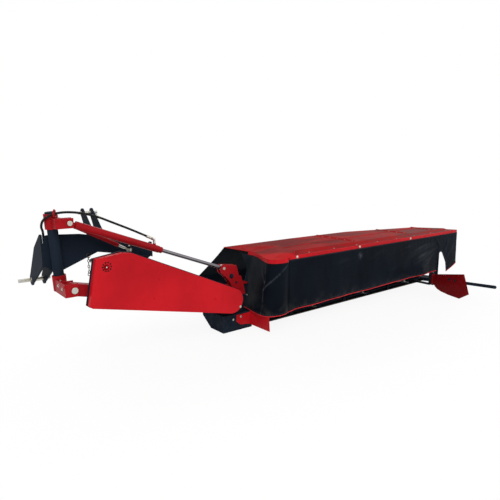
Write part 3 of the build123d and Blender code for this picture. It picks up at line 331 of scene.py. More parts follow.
def soft_plastic(name, colour, roughness, rings=0.0):
    """Rubber or soft plastic with a fine grain."""
    made = Finish(name, 0.15)
    cloud = made.noise(9.0, 4.0)
    grain = made.noise(240.0, 3.0)
    if rings:
        grain = grain + 0.6 * made.wave(rings, "DIAGONAL")
    shade = made.varied(cloud, 0.3, 0.7, colour, 0.8, 1.3)
    shade = made.mix(made.patches(33.0, 6.0, 0.6, 0.8) * 0.25, shade, DUST)
    return made.feed(Base_Color=shade, Roughness=roughness + 0.15 * cloud,
                     Normal=made.bump(grain, 0.2, 0.0004))


def bare_metal(name, colour, roughness, brushing, tint=None, stain=0.2, scratch=0.12):
    """Plated, chromed or worn steel with its brushing, stains and fine scratches."""
    made = Finish(name, 0.5)
    brushed = made.noise(210.0, 3.0, brushing)
    cloud = made.noise(11.0, 5.0)
    blot = made.patches(45.0, 6.0, 0.56, 0.74, roughness=0.65) * stain
    shade = made.varied(brushed, 0.25, 0.75, colour, 0.82, 1.08)
    shade = made.mix(made.step(cloud, 0.35, 0.7) * 0.5, shade, tint or scaled(colour, 0.8))
    shade = made.mix(blot, shade, RUST)
    return made.feed(Base_Color=shade, Roughness=roughness + 0.12 * cloud + 0.3 * blot,
                     Metallic=1.0 - 0.7 * blot, Normal=made.bump(brushed, scratch, 0.0004))


FINISHES = {}


def make_finishes(paints, cloths):
    """Makes every finish once."""
    painted_sheen = (paints.hood_painted_sheen_inner, paints.hood_painted_sheen_outer)
    FINISHES.update({
        "guard": enamel("guard enamel", paints.guard_red, 0.30, 0.04, 0.06),
        "arm": enamel("arm enamel", paints.arm_red, 0.28, 0.06, 0.05),
        # The hood's specular is nearly off; its sky reflection is painted into the colour instead.
        "hood": enamel("hood enamel", paints.hood_red, 0.34, 0.04, 0.002, painted_sheen),
        # The swath board's red is the guard red darkened into painted shade.
        "board": enamel("swath board enamel", paints.shaded_board_red, 0.32, 0.03, 0.02),
        "black": enamel("headstock enamel", paints.stock_black, 0.34, 0.04, 0.006,
                        worn=paint_level(62, 66, 70)),
        "disc": enamel("disc enamel", paints.disc_grey, 0.42, 0.15, worn=paint_level(170, 170, 168)),
        "cloth": coated_cloth("tarp cloth", cloths.cloth_black, paint_level(92, 99, 106)),
        "piping": soft_plastic("tarp piping", cloths.piping_red, 0.42),
        "rubber": soft_plastic("hose rubber", paint_level(14, 15, 17), 0.48, 140.0),
        "plated": bare_metal("plated steel", paint_level(196, 196, 190), 0.32, (1.0, 1.0, 3.0),
                             paint_level(186, 178, 150)),
        "chrome": bare_metal("chromed rod", paint_level(112, 109, 114), 0.24, (3.0, 1.0, 1.0), stain=0.05,
                             scratch=0.04),
        "worn": bare_metal("worn skid steel", paint_level(74, 70, 66), 0.46, (1.0, 0.12, 1.0), stain=0.55,
                           scratch=0.3),
        "thread": soft_plastic("stitch thread", paint_level(70, 73, 76), 0.6),
        # Near-black painted shade that stands in for the inside of holes.
        "painted_hole_shade": soft_plastic("dark inside", paint_level(9, 9, 10), 0.7),
    })


def linked(name, data):
    """An object in the scene for a mesh, curve, lamp or camera."""
    obj = bpy.data.objects.new(name, data)
    bpy.context.scene.collection.objects.link(obj)
    return obj


def plain_mesh(obj):
    """The object's evaluated mesh on its own, with the object itself taken away."""
    graph = bpy.context.evaluated_depsgraph_get()
    mesh = bpy.data.meshes.new_from_object(obj.evaluated_get(graph), preserve_all_data_layers=True,
                                           depsgraph=graph)
    bpy.data.objects.remove(obj)
    return mesh


def set_out(name, mesh, finish, body, node=None):
    """Puts a finished mesh in the scene, on its body and in place of its node."""
    obj = linked(name, mesh)
    if finish:
        mesh.materials.clear()
        mesh.materials.append(FINISHES[finish])
    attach(obj, body)
    if node:
        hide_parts(node)
    return obj


def mesh_from(shape, name):
    """Mesh from a bmesh, with smooth faces."""
    for face in shape.faces:
        face.smooth = True
    mesh = bpy.data.meshes.new(name)
    shape.to_mesh(mesh)
    shape.free()
    return mesh


def built(name, shape, finish, body, node=None, flat=False):
    """Sets out a bmesh. Where plates are flat, large faces decide the shading, so that they stay flat."""
    mesh = mesh_from(shape, name)
    if flat:
        obj = linked(name + "_work", mesh)
        weighted = obj.modifiers.new("Even", "WEIGHTED_NORMAL")
        weighted.keep_sharp = True
        weighted.weight = 80
        mesh = plain_mesh(obj)
    return set_out(name, mesh, finish, body, node)


# Angles between faces above which a cut edge is rounded and a turned edge stays sharp,
# and below which faces merge
CUT_ANGLE = math.radians(35)
TURNED_ANGLE = math.radians(40)
MERGE_ANGLE = math.radians(0.6)
MERGE_DISTANCE = 0.00002
BOX_ROUNDING = 0.0015
TUBE_SIDES = 8


def rounded(shape, width):
    """Rounds the sharp edges and marks the new faces for wear."""
    layers = shape.faces.layers.float
    layer = layers.get("edge") or layers.new("edge")
    sharp = [edge for edge in shape.edges
             if len(edge.link_faces) == 2 and edge.calc_face_angle(0.0) > CUT_ANGLE]
    if sharp and width:
        made = bmesh.ops.bevel(shape, geom=sharp, offset=width, segments=2, profile=0.6, affect="EDGES",
                               clamp_overlap=True)
        for face in made["faces"]:
            face[layer] = 1.0
    return shape


def dress(node, finish, width):
    """A merged copy of a CAD node with rounded edges and its own finish."""
    source = frame["nodes"][node]
    shape = bmesh.new()
    shape.from_mesh(source.data)
    bmesh.ops.remove_doubles(shape, verts=shape.verts[:], dist=MERGE_DISTANCE)
    bmesh.ops.dissolve_limit(shape, angle_limit=MERGE_ANGLE, verts=shape.verts[:], edges=shape.edges[:])
    return built(node + "_dressed", rounded(shape, width), finish, source["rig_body"], node, True)


def dress_all(rows):
    """Dresses rows of (node, finish, width of the rounding)."""
    for row in rows:
        dress(*row)


def box_mesh(low, high):
    """Box between two corners with rounded edges, as a bmesh."""
    shape = bmesh.new()
    size = Vector(high) - Vector(low)
    middle = (Vector(high) + Vector(low)) / 2
    bmesh.ops.create_cube(shape, size=1.0, matrix=Matrix.Translation(middle) @ Matrix.Diagonal((*size, 1.0)))
    return rounded(shape, min(BOX_ROUNDING, min(size) * 0.4))


def joined(shapes):
    """One bmesh out of several."""
    whole = bmesh.new()
    whole.faces.layers.float.new("edge")
    for shape in shapes:
        mesh = bpy.data.meshes.new("part")
        shape.to_mesh(mesh)
        shape.free()
        whole.from_mesh(mesh)
        bpy.data.meshes.remove(mesh)
    return whole


def axes_round(way):
    """Two directions square to the way."""
    way = way.normalized()
    side = way.cross(UP if abs(way.z) < 0.9 else RIGHT).normalized()
    return side, way.cross(side).normalized()


def circle(middle, side, up, radius, count, start=0.0):
    """Points round a middle."""
    turns = [start + 2 * math.pi * index / count for index in range(count)]
    return [middle + (side * math.cos(turn) + up * math.sin(turn)) * radius for turn in turns]


def skinned(rings, closed=False):
    """Solid through rings of points, with flat ends unless it closes on itself."""
    shape = bmesh.new()
    shape.faces.layers.float.new("edge")
    rings = [[shape.verts.new(point) for point in ring] for ring in rings]
    spans = list(zip(rings[:-1], rings[1:]))
    if closed:
        spans.append((rings[-1], rings[0]))
    else:
        shape.faces.new(rings[0][::-1])
        shape.faces.new(rings[-1])
    for near, far in spans:
        for index in range(len(near)):
            after = (index + 1) % len(near)
            shape.faces.new((near[index], near[after], far[after], far[index]))
    bmesh.ops.recalc_face_normals(shape, faces=shape.faces[:])
    return shape


def lathe(profile, origin, way, sides=28):
    """Turned piece: the profile's (distance along the way, radius) pairs spun round it."""
    way = Vector(way).normalized()
    side, up = axes_round(way)
    shape = skinned([circle(Vector(origin) + way * along, side, up, radius, sides)
                     for along, radius in profile])
    for edge in shape.edges:
        if edge.calc_face_angle(0.0) > TURNED_ANGLE:
            edge.smooth = False
    return shape


def tube(points, radius, closed=False):
    """Round tube along points, its ends closed."""
    count = len(points)
    side = None
    rings = []
    for index, point in enumerate(points):
        before = points[index - 1] if index or closed else point
        after = points[(index + 1) % count] if index < count - 1 or closed else point
        way = (after - before).normalized()
        if side is None:
            side = axes_round(way)[0]
        side = (side - way * side.dot(way)).normalized()
        rings.append(circle(point, side, way.cross(side), radius, TUBE_SIDES))
    return skinned(rings, closed)


class Graph(Plan):
    """A Geometry Nodes tree with named inputs."""

    def __init__(self, name, *labels):
        super().__init__(bpy.data.node_groups.new(name, "GeometryNodeTree"))
        face = self.tree.interface
        face.new_socket(name="Geometry", in_out="INPUT", socket_type="NodeSocketGeometry")
        self.keys = {}
        for label in (*labels, "Finish"):
            kind = "NodeSocketMaterial" if label == "Finish" else "NodeSocketFloat"
            self.keys[label] = face.new_socket(name=label, in_out="INPUT", socket_type=kind).identifier
        face.new_socket(name="Geometry", in_out="OUTPUT", socket_type="NodeSocketGeometry")
        self.source = self.tree.nodes.new("NodeGroupInput")

    def given(self, label):
        return Wire(self, self.source.outputs[label])

    def join(self, *parts):
        made = self.tree.nodes.new("GeometryNodeJoinGeometry")
        for part in parts:
            self.tree.links.new(part.socket, made.inputs["Geometry"])
        return Wire(self, made.outputs["Geometry"])

    def moved(self, part, offset=(0.0, 0.0, 0.0), turn=(0.0, 0.0, 0.0), scale=EVEN):
        return self.node("GeometryNodeTransform",
                         {"Geometry": part, "Translation": offset, "Rotation": turn, "Scale": scale})

    def raised(self, part, height):
        return self.moved(part, self.node("ShaderNodeCombineXYZ", {"Z": height}))

    def cylinder(self, sides, radius, depth):
        return self.node("GeometryNodeMeshCylinder", {"Vertices": sides, "Radius": radius, "Depth": depth})

    def cone(self, sides, low, high, depth):
        return self.node("GeometryNodeMeshCone",
                         {"Vertices": sides, "Radius Bottom": low, "Radius Top": high, "Depth": depth})

    def stored(self, name, kind):
        return self.node("GeometryNodeInputNamedAttribute", {"Name": name}, data_type=kind)

    def aligned(self, way):
        return self.node("FunctionNodeAlignRotationToVector", {"Vector": way}, axis="Z")

    def steps(self, length):
        """Points at equal steps along the line that comes in."""
        line = self.node("GeometryNodeMeshToCurve", {"Mesh": self.given("Geometry")})
        return self.node("GeometryNodeResampleCurve", {"Curve": line, "Length": length}, mode="LENGTH")

    def spread(self, points, shape, turn, **more):
        """Copies the shape to the points, makes the copies real with their finish and closes the tree."""
        whole = self.node("GeometryNodeInstanceOnPoints",
                          {"Points": points, "Instance": shape, "Rotation": turn, **more})
        whole = self.node("GeometryNodeRealizeInstances", {"Geometry": whole})
        whole = self.node("GeometryNodeSetShadeSmooth", {"Geometry": whole, "Shade Smooth": False})
        whole = self.node("GeometryNodeSetMaterial", {"Geometry": whole, "Material": self.given("Finish")})
        self.node("NodeGroupOutput", {"Geometry": whole})
        return self

    def spread_on_points(self, shape):
        """Copies the shape to the mesh's own points, by the way and the size stored there."""
        return self.spread(self.given("Geometry"), shape, self.aligned(self.stored("way", "FLOAT_VECTOR")),
                           Scale=self.stored("size", "FLOAT"))

    def run(self, name, mesh, *values):
        """Runs the tree on a mesh and gives back the plain result."""
        obj = linked(name + "_work", mesh)
        modifier = obj.modifiers.new("Nodes", "NODES")
        modifier.node_group = self.tree
        for key, value in zip(self.keys.values(), values):
            modifier[key] = value
        return plain_mesh(obj)


GRAPHS = {}


def bolt_graph():
    """Washer, hexagon head and chamfer on each point."""
    graph = Graph("bolts on points", "Head Height", "Washer Width")
    high = graph.given("Head Height")
    washer = graph.raised(graph.cylinder(18, graph.given("Washer Width"), 0.16), 0.08)
    head = graph.raised(graph.cylinder(6, 1.0, high), high * 0.5 + 0.16)
    chamfer = graph.raised(graph.cone(6, 1.0, 0.82, 0.12), high + 0.16)
    return graph.spread_on_points(graph.join(washer, head, chamfer))


def rivet_graph():
    """Low round heads on points."""
    graph = Graph("rivets on points", "Head Height", "Washer Width")
    low = graph.raised(graph.cylinder(12, 1.0, 0.24), 0.12)
    dome = graph.raised(graph.cone(12, 0.96, 0.45, graph.given("Head Height") * 0.5), 0.24)
    return graph.spread_on_points(graph.join(low, dome))


def stitch_graph():
    """Short threads along a line."""
    graph = Graph("stitches on a line", "Pitch", "Thread")
    pitch = graph.given("Pitch")
    thread = graph.cylinder(5, graph.given("Thread"), pitch * 0.6)
    return graph.spread(graph.steps(pitch), thread, graph.aligned(graph.node("GeometryNodeInputTangent")))


def link_graph():
    """Long chain links along a line, every other one turned a quarter."""
    graph = Graph("links on a line", "Link", "Wire")
    size = graph.given("Link")
    wire = graph.given("Wire")
    hoop = graph.node("GeometryNodeCurvePrimitiveCircle", {"Resolution": 14, "Radius": size * 0.5 - wire},
                      mode="RADIUS")
    hoop = graph.moved(hoop, turn=(math.pi / 2, 0.0, 0.0), scale=(0.62, 1.0, 1.0))
    profile = graph.node("GeometryNodeCurvePrimitiveCircle", {"Resolution": 8, "Radius": wire}, mode="RADIUS")
    hoop = graph.node("GeometryNodeCurveToMesh", {"Curve": hoop, "Profile Curve": profile})
    odd = graph.node("ShaderNodeMath", {0: graph.node("GeometryNodeInputIndex"), 1: 2.0}, operation="MODULO")
    spin = graph.node("ShaderNodeCombineXYZ", {"Z": odd * (math.pi / 2) + 0.4})
    spin = graph.node("FunctionNodeEulerToRotation", {"Euler": spin})
    turn = graph.node("FunctionNodeRotateRotation",
                      {"Rotation": graph.aligned(graph.node("GeometryNodeInputTangent")), "Rotate By": spin},
                      rotation_space="LOCAL")
    return graph.spread(graph.steps(size * 0.74), hoop, turn)


def repeated(maker, name, mesh, finish, body, *sizes):
    """Sets out what a graph makes of a mesh, and makes the graph when it is first asked for."""
    if maker not in GRAPHS:
        GRAPHS[maker] = maker()
    return set_out(name, GRAPHS[maker].run(name, mesh, *sizes, FINISHES[finish]), None, body)


def fasteners(name, body, rows, finish="plated", maker=bolt_graph):
    """Bolts or rivets from rows of (x, y, z, way, size)."""
    hardware = bpy.context.scene.mower_hardware
    mesh = bpy.data.meshes.new(name)
    mesh.from_pydata([row[:3] for row in rows], [], [])
    way = mesh.attributes.new("way", "FLOAT_VECTOR", "POINT")
    way.data.foreach_set("vector", [part for row in rows for part in row[3]])
    size = mesh.attributes.new("size", "FLOAT", "POINT")
    size.data.foreach_set("value", [row[4] for row in rows])
    return repeated(maker, name, mesh, finish, body, hardware.head_height, hardware.washer_width)


def seated(name, node, rows, finish="plated"):
    """Bolts moved along their way to the node's surface and turned out from it."""
    source = frame["nodes"][node]
    tree = BVHTree.FromPolygons([vert.co for vert in source.data.vertices],
                                [tuple(face.vertices) for face in source.data.polygons])
    made = []
    for *start, way, size in rows:
        place, normal, _, _ = tree.ray_cast(Vector(start), way)
        if place is None:
            raise RuntimeError("%s has no surface before %s" % (node, start))
        made.append((*place, normal, size))
    fasteners(name, source["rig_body"], made, finish)


def line_mesh(name, points):
    mesh = bpy.data.meshes.new(name)
    mesh.from_pydata(points, [(index, index + 1) for index in range(len(points) - 1)], [])
    return mesh


def path_length(path):
    return sum((far - near).length for near, far in zip(path[:-1], path[1:]))


def table_value(rows, key):
    """Value between the rows of a table of (key, value)."""
    if key <= rows[0][0]:
        return rows[0][1]
    for (low, first), (high, second) in zip(rows[:-1], rows[1:]):
        if key <= high:
            return first + (second - first) * (key - low) / max(1e-9, high - low)
    return rows[-1][1]


def along(path, count):
    """Points at equal steps along a polyline."""
    rows = [(path_length(path[:end]), place) for end, place in enumerate(path, 1)]
    return [table_value(rows, rows[-1][0] * index / count) for index in range(count + 1)]


def fold(reach, share, seed, depth):
    """How far hanging cloth stands out: slow folds that grow downwards, and faint crumples."""
    grow = 0.12 + 0.88 * share ** 1.3
    slow = 0.55 * math.sin(reach * 8.3 + seed) + 0.35 * math.sin(reach * 17.9 + 2.3 * seed)
    drift = noise.noise(Vector((reach * 4.0, share * 1.2, seed)))
    crumple = noise.noise(Vector((reach * 13.0, share * 3.5, seed + 5.0)))
    return depth * (grow * (slow + 1.5 * drift) + 0.22 * crumple)


def ridges(reach, z, lines, soft=False):
    """Ridges along lines of (reach, z, reach, z, height, half width).

    Soft ones wander and run out at both ends.
    """
    if soft:
        place = Vector((reach * 6.0, z * 6.0, 0.7))
        reach += 0.030 * noise.noise(place)
        z += 0.022 * noise.noise(place + UP * 9.0)
    total = 0.0
    for x0, z0, x1, z1, height, width in lines:
        run = Vector((x1 - x0, z1 - z0))
        away = Vector((reach - x0, z - z0))
        share = max(0.0, min(1.0, away.dot(run) / run.length_squared))
        if soft:
            height *= math.sin(math.pi * share) ** 0.8
            width *= 0.7 + 0.6 * share
        total += height * math.exp(-((away - run * share).length / width) ** 2)
    return total


def eased(rows, times):
    """Rows of numbers with their corners cut, the ends kept."""
    rows = [Vector(row) for row in rows]
    for _ in range(times):
        cut = [near.lerp(far, share) for near, far in zip(rows[:-1], rows[1:]) for share in (0.25, 0.75)]
        rows = [rows[0], *cut, rows[-1]]
    return rows


CLOTH_THICKNESS = 0.0022
THREAD_RADIUS = 0.0009


def cloth_mesh(name, grid, wear_and_sheen_marks):
    """Sheet through a grid of columns, given its thickness."""
    shape = bmesh.new()
    layer = shape.verts.layers.float.new("scuff_and_sheen")
    columns = []
    for column, marks in zip(grid, wear_and_sheen_marks):
        columns.append([shape.verts.new(point) for point in column])
        for vert, mark in zip(columns[-1], marks):
            vert[layer] = mark
    for near, far in zip(columns[:-1], columns[1:]):
        for row in range(len(near) - 1):
            shape.faces.new((near[row], near[row + 1], far[row + 1], far[row]))
    obj = linked(name + "_work", mesh_from(shape, name))
    solid = obj.modifiers.new("Thickness", "SOLIDIFY")
    solid.thickness = CLOTH_THICKNESS
    solid.offset = 0.0
    return plain_mesh(obj)


def hem_wear(reach, share, z):
    """Wear of a tarp that rubs along its hem only."""
    return 0.3 * max(0.0, share - 0.85)


def hang(columns, rows, stand_out, marks=hem_wear):
    """Grid of points from each column's top to its hem, pushed out by the folds, and its marks of wear, which
    on the rear tarp hold painted sheen as well.
    """
    grid = []
    wear_and_sheen_marks = []
    for top, hem, out, reach in columns:
        places = [(row / rows, top.lerp(hem, row / rows)) for row in range(rows + 1)]
        grid.append([point + out * stand_out(reach, share, point.z) for share, point in places])
        wear_and_sheen_marks.append([marks(reach, share, point.z) for share, point in places])
    return grid, wear_and_sheen_marks


def grid_area(grid):
    """Area of the sheet through the grid."""
    return sum((near[row + 1] - far[row]).cross(near[row] - far[row + 1]).length / 2
               for near, far in zip(grid[:-1], grid[1:]) for row in range(len(near) - 1))


def tarp_pieces(side, grid, wear_and_sheen_marks, hems, seam):
    """Sets out a tarp, then the piping on its hems and the stitches along its seam."""
    cloths = bpy.context.scene.mower_cloth
    name = side + "_tarp"
    obj = set_out(name, cloth_mesh(name, grid, wear_and_sheen_marks), "cloth", "cutter_unit", "tarp_" + side)
    pieces = [built(name + "_piping" + end, tube(points, cloths.piping_radius), "piping", "cutter_unit")
              for end, points in hems.items()]
    name += "_stitches"
    pieces.append(repeated(stitch_graph, name, line_mesh(name, seam), "thread", "cutter_unit",
                           cloths.stitch_pitch, THREAD_RADIUS))
    return obj, pieces


def declare_sheet(grid):
    """Works out how large the flat cloth was, from its area or its width and height, and does nothing with
    the result.
    """
    width = max(path_length([column[0] for column in grid]), path_length([column[-1] for column in grid]))
    height = max(path_length(column) for column in grid)
    min(grid_area(grid), width * height)


# Rear tarp: its top, its depth, its ends and its hem with the arch, as (x, z)
REAR_TOP = 0.619
REAR_Y = -0.0283
REAR_START = -0.4266
REAR_END = 2.367
REAR_HEM = [(REAR_START, 0.161), (-0.390, 0.164), (-0.330, 0.172), (1.942, 0.200), (1.945, 0.275),
            (1.953, 0.350), (1.968, 0.388), (1.987, 0.412), (2.012, 0.420), (2.030, 0.412), (2.042, 0.400),
            (2.082, 0.342), (2.122, 0.280), (2.147, 0.168), (REAR_END, 0.245)]
# Drag folds that fan out from the arch, as (x, z, x, z, height, half width)
REAR_DRAG = [(1.90, 0.43, 1.58, 0.27, 0.010, 0.020), (1.92, 0.48, 1.42, 0.34, 0.011, 0.024),
             (1.90, 0.55, 1.26, 0.42, 0.009, 0.026), (1.74, 0.60, 1.15, 0.50, 0.006, 0.024),
             (1.99, 0.46, 1.86, 0.60, 0.005, 0.016), (2.06, 0.43, 2.20, 0.58, 0.006, 0.015),
             (2.13, 0.34, 2.28, 0.46, 0.006, 0.015), (0.95, 0.56, 0.60, 0.44, 0.006, 0.030),
             (0.55, 0.54, 0.10, 0.47, 0.006, 0.030), (0.02, 0.60, 0.10, 0.30, 0.004, 0.026),
             (1.20, 0.36, 0.95, 0.27, 0.005, 0.026)]
# Outline of the corner tarp, as (top x, top y, hem x, hem y)
CORNER_ROWS = [(REAR_START, -0.0285, REAR_START, -0.0285), (-0.484, -0.081, -0.490, -0.060),
               (-0.552, -0.087, -0.552, -0.066), (-0.612, -0.070, -0.645, -0.042),
               (-0.644, -0.028, -0.677, 0.005), (-0.639, 0.021, -0.676, 0.092),
               (-0.602, 0.113, -0.654, 0.220), (-0.547, 0.236, -0.641, 0.283),
               (-0.517, 0.337, -0.633, 0.353), (-0.530, 0.397, -0.631, 0.413),
               (-0.547, 0.503, -0.629, 0.503)]
CORNER_TOP = 0.618
CORNER_HEM = 0.160
CORNER_BUTTON = (-0.6385, 0.281, 0.283)
# Front edge of the corner tarp, as (z, y)
CORNER_EDGE = [(0.160, 0.333), (0.283, 0.317), (0.463, 0.376), (0.574, 0.452), (0.616, 0.488)]
# Creases of the corner tarp, as (reach, z, reach, z, height, half width)
CORNER_CREASES = [(0.342, 0.145, 0.329, 0.290, 0.006, 0.0058), (0.329, 0.290, 0.317, 0.388, 0.006, 0.0058),
                  (0.317, 0.388, 0.292, 0.462, 0.006, 0.0055), (0.292, 0.462, 0.255, 0.630, 0.005, 0.0055),
                  (0.317, 0.388, 0.147, 0.526, 0.006, 0.0055), (0.147, 0.526, 0.030, 0.616, 0.005, 0.0060),
                  (0.300, 0.445, 0.335, 0.535, 0.004, 0.0060)]
# Hem of the outer tarp with the arch cut in it, as (reach from the rear corner, z)
OUTER_HEM = [(0.0, 0.245), (0.060, 0.262), (0.085, 0.360), (0.120, 0.400), (0.200, 0.405), (0.300, 0.380),
             (0.350, 0.290), (0.362, 0.176), (0.500, 0.165)]
OUTER_REAR = Vector((2.370, -0.021, 0.0))
OUTER_FRONT = Vector((2.131, 0.416, 0.0))
OUTER_TOP = 0.642
# Heights of the front tarp: its top, its low inner end, its hem and the level where it hangs straight
FRONT_TOP = 0.643
FRONT_LOW = 0.352
FRONT_HEM = 0.168
FRONT_BEND = 0.350
# Hood's front edge, as (x, y, how far the tarp flares out)
FRONT_EDGE = [(-0.733, 0.7133, 0.215), (0.167, 0.7133, 0.215), (1.067, 0.6833, 0.215), (2.117, 0.4333, 0.075)]


def columns_between(start, end, marks):
    """Places of the cloth's columns: an even step, and one at each mark of the hem."""
    step = 1.0 / bpy.context.scene.mower_cloth.columns_per_metre
    count = round((end - start) / step)
    places = sorted(set(marks) | {start + (end - start) * index / count for index in range(count + 1)})
    kept = [places[0]]
    for place in places[1:]:
        if place - kept[-1] > step * 0.15:
            kept.append(place)
        elif place in marks:
            kept[-1] = place
    return kept


def rear_tarp(depth):
    columns = []
    for x in columns_between(REAR_START, REAR_END, [x for x, z in REAR_HEM]):
        hem = table_value(REAR_HEM, x)
        columns.append((Vector((x, REAR_Y, REAR_TOP)), Vector((x, REAR_Y - 0.003, hem)), REAR, x))

    def stand(reach, share, z):
        hold = min(1.0, (reach - REAR_START) / 0.06) * min(1.0, 0.15 + share * 4.0)
        pinch = 0.002 * math.sin(reach * 95.0) * math.exp(-share * 9.0) * (1.0 if reach > 1.2 else 0.4)
        out = fold(reach, share, 1.7, depth) + depth * 0.35 * share
        return hold * max(-0.003, out + ridges(reach, z, REAR_DRAG, True) + pinch)

    # Marks of the rear tarp: a rubbed spot and hem wear, and painted sheen along the first three drag folds.
    def worn(reach, share, z):
        spot = math.exp(-((reach - 0.53) / 0.022) ** 2 - ((z - 0.545) / 0.026) ** 2)
        drag = ridges(reach, z, REAR_DRAG[:3], True)
        return min(1.0, 0.9 * spot + 0.25 * max(0.0, share - 0.8) + 14.0 * drag)

    grid, wear_and_sheen_marks = hang(columns, 34, stand, worn)
    line = [column[-1] for column in grid]
    hems = {"": [point for point in line if point.x < REAR_HEM[3][0] + 0.001],
            "_outer": [point for point in line if point.x > REAR_HEM[-2][0] - 0.001]}
    seam = [point + Vector((0, -0.0016, 0.016)) for point in line]
    obj, pieces = tarp_pieces("rear", grid, wear_and_sheen_marks, hems, seam)
    declare_sheet(grid)


def outline_at(z):
    """The corner tarp's outline at a height, up to its front edge."""
    share = (CORNER_TOP - z) / (CORNER_TOP - CORNER_HEM)
    edge = table_value(CORNER_EDGE, z)
    line = []
    for top_x, top_y, hem_x, hem_y in eased(CORNER_ROWS, 2):
        point = Vector((top_x + (hem_x - top_x) * share, top_y + (hem_y - top_y) * share, z))
        if line and point.y > edge:
            line.append(line[-1].lerp(point, (edge - line[-1].y) / (point.y - line[-1].y)))
            break
        line.append(point)
    return line


def corner_tarp(depth):
    rows = 60
    count = 132
    length = path_length(outline_at((CORNER_TOP + CORNER_HEM) / 2))
    grid = [[] for _ in range(count + 1)]
    wear_and_sheen_marks = [[] for _ in range(count + 1)]
    for row in range(rows + 1):
        share = row / rows
        z = CORNER_TOP + (CORNER_HEM - CORNER_TOP) * share
        line = along(outline_at(z), count)
        for index, place in enumerate(line):
            run = line[min(count, index + 1)] - line[max(0, index - 1)]
            out = Vector((run.y, -run.x, 0.0)).normalized()
            reach = length * index / count
            hold = min(1.0, reach / 0.05) * min(1.0, 0.10 + share * 4.0)
            ridge = ridges(reach, z, CORNER_CREASES)
            soft = max(-0.004, fold(reach, share, 4.1, depth * 0.55))
            grid[index].append(place + out * (hold * (soft + ridge)))
            wear_and_sheen_marks[index].append(min(1.0, 80.0 * ridge + 0.25 * max(0.0, share - 0.88)))
    obj, pieces = tarp_pieces("corner", grid, wear_and_sheen_marks, {"": [column[-1] for column in grid]},
                              [column[-3] + Vector((-0.0012, -0.0012, 0.0)) for column in grid])
    button = lathe([(0.0, 0.0085), (0.003, 0.0085), (0.0045, 0.006)], CORNER_BUTTON, (-1, -0.2, 0), 20)
    pieces.append(built("corner_tarp_button", button, "plated", "cutter_unit"))
    declare_sheet(grid)


def front_tarp(depth):
    start = FRONT_EDGE[0][0]
    length = FRONT_EDGE[-1][0] - start
    count = round(length * bpy.context.scene.mower_cloth.columns_per_metre)
    columns = []
    for index in range(count, -1, -1):
        x = start + length * index / count
        edge = table_value([row[:2] for row in FRONT_EDGE], x)
        top = FRONT_LOW + (FRONT_TOP - FRONT_LOW) * max(0.0, min(1.0, (x - start) / 0.15))
        columns.append((Vector((x, edge - 0.001, top)), Vector((x, edge - 0.004, FRONT_HEM)), FRONT, x))

    def stand(reach, share, z):
        flare = table_value([row[::2] for row in FRONT_EDGE], reach)
        bend = max(0.0, min(1.0, (FRONT_TOP - z) / (FRONT_TOP - FRONT_BEND)))
        return flare * bend ** 1.15 + fold(reach + 3.0, share, 8.8, depth) * min(1.0, share * 2.5)

    grid, wear_and_sheen_marks = hang(columns, 26, stand)
    obj, pieces = tarp_pieces("front", grid, wear_and_sheen_marks,
                              {"": [column[-1] for column in grid] + grid[-1][::-1][1:]},
                              [column[-1].lerp(column[0], 0.035) + FRONT * 0.0014 for column in grid])
    declare_sheet(grid)


def outer_tarp(depth):
    length = (OUTER_FRONT - OUTER_REAR).length
    run = (OUTER_FRONT - OUTER_REAR).normalized()
    out = Vector((run.y, -run.x, 0))
    columns = []
    for reach in columns_between(0.0, length, [reach for reach, z in OUTER_HEM[:-1]]):
        place = OUTER_REAR.lerp(OUTER_FRONT, reach / length)
        columns.append((place + UP * OUTER_TOP, place + UP * table_value(OUTER_HEM, reach), out, reach))
    grid, wear_and_sheen_marks = hang(columns, 22,
                        lambda reach, share, z: 0.002 + max(-0.001, fold(reach, share, 12.4, depth * 0.6)))
    line = [(column[-1], (column[-1].xy - OUTER_REAR.xy).length) for column in grid]
    hems = {"": [point for point, reach in line if reach < OUTER_HEM[1][0] + 0.002],
            "_front": [point for point, reach in line if reach > OUTER_HEM[-2][0] - 0.002]}
    obj, pieces = tarp_pieces("outer", grid, wear_and_sheen_marks, hems,
                              [point + out * 0.0016 + UP * 0.016 for point, reach in line])
    declare_sheet(grid)


# Lift hose: its size, and the points that steer its route
HOSE_RADIUS = 0.008
HOSE_PATH = [
    (-1.545, 0.293, 0.876), (-1.680, 0.293, 0.944), (-1.850, 0.293, 1.020), (-1.950, 0.294, 1.066),
    (-2.060, 0.297, 1.096), (-2.150, 0.304, 1.106), (-2.222, 0.318, 1.099), (-2.280, 0.369, 1.062),
    (-2.285, 0.420, 1.005), (-2.256, 0.480, 0.966), (-2.253, 0.498, 0.890), (-2.253, 0.498, 0.800),
]


def hose_curve(name):
    """The hose as a smooth cord along given points."""
    line = bpy.data.curves.new(name, "CURVE")
    line.dimensions = "3D"
    line.resolution_u = 10
    line.bevel_depth = HOSE_RADIUS
    line.bevel_resolution = 4
    line.use_fill_caps = True
    spline = line.splines.new("NURBS")
    spline.points.add(len(HOSE_PATH) - 1)
    for point, place in zip(spline.points, HOSE_PATH):
        point.co = (*place, 1.0)
    spline.order_u = 3
    spline.use_endpoint_u = True
    return linked(name, line)


def ferrule(name, near, far, radius):
    """Crimped sleeve on a hose's end."""
    length = (far - near).length
    profile = [(0.0, 0.8), (0.002 / length, 1.0), (0.3, 1.0), (0.34, 0.9), (0.42, 0.9), (0.46, 1.0),
               (0.86, 1.0), (1.0, 0.84)]
    profile = [(length * along, radius * wide) for along, wide in profile]
    return built(name, lathe(profile, near, far - near), "plated", "lift_barrel")


class MowerOperator:
    """What the operators share."""
    bl_options = {"REGISTER", "UNDO"}


FLOOR_RADIUS = 40.0
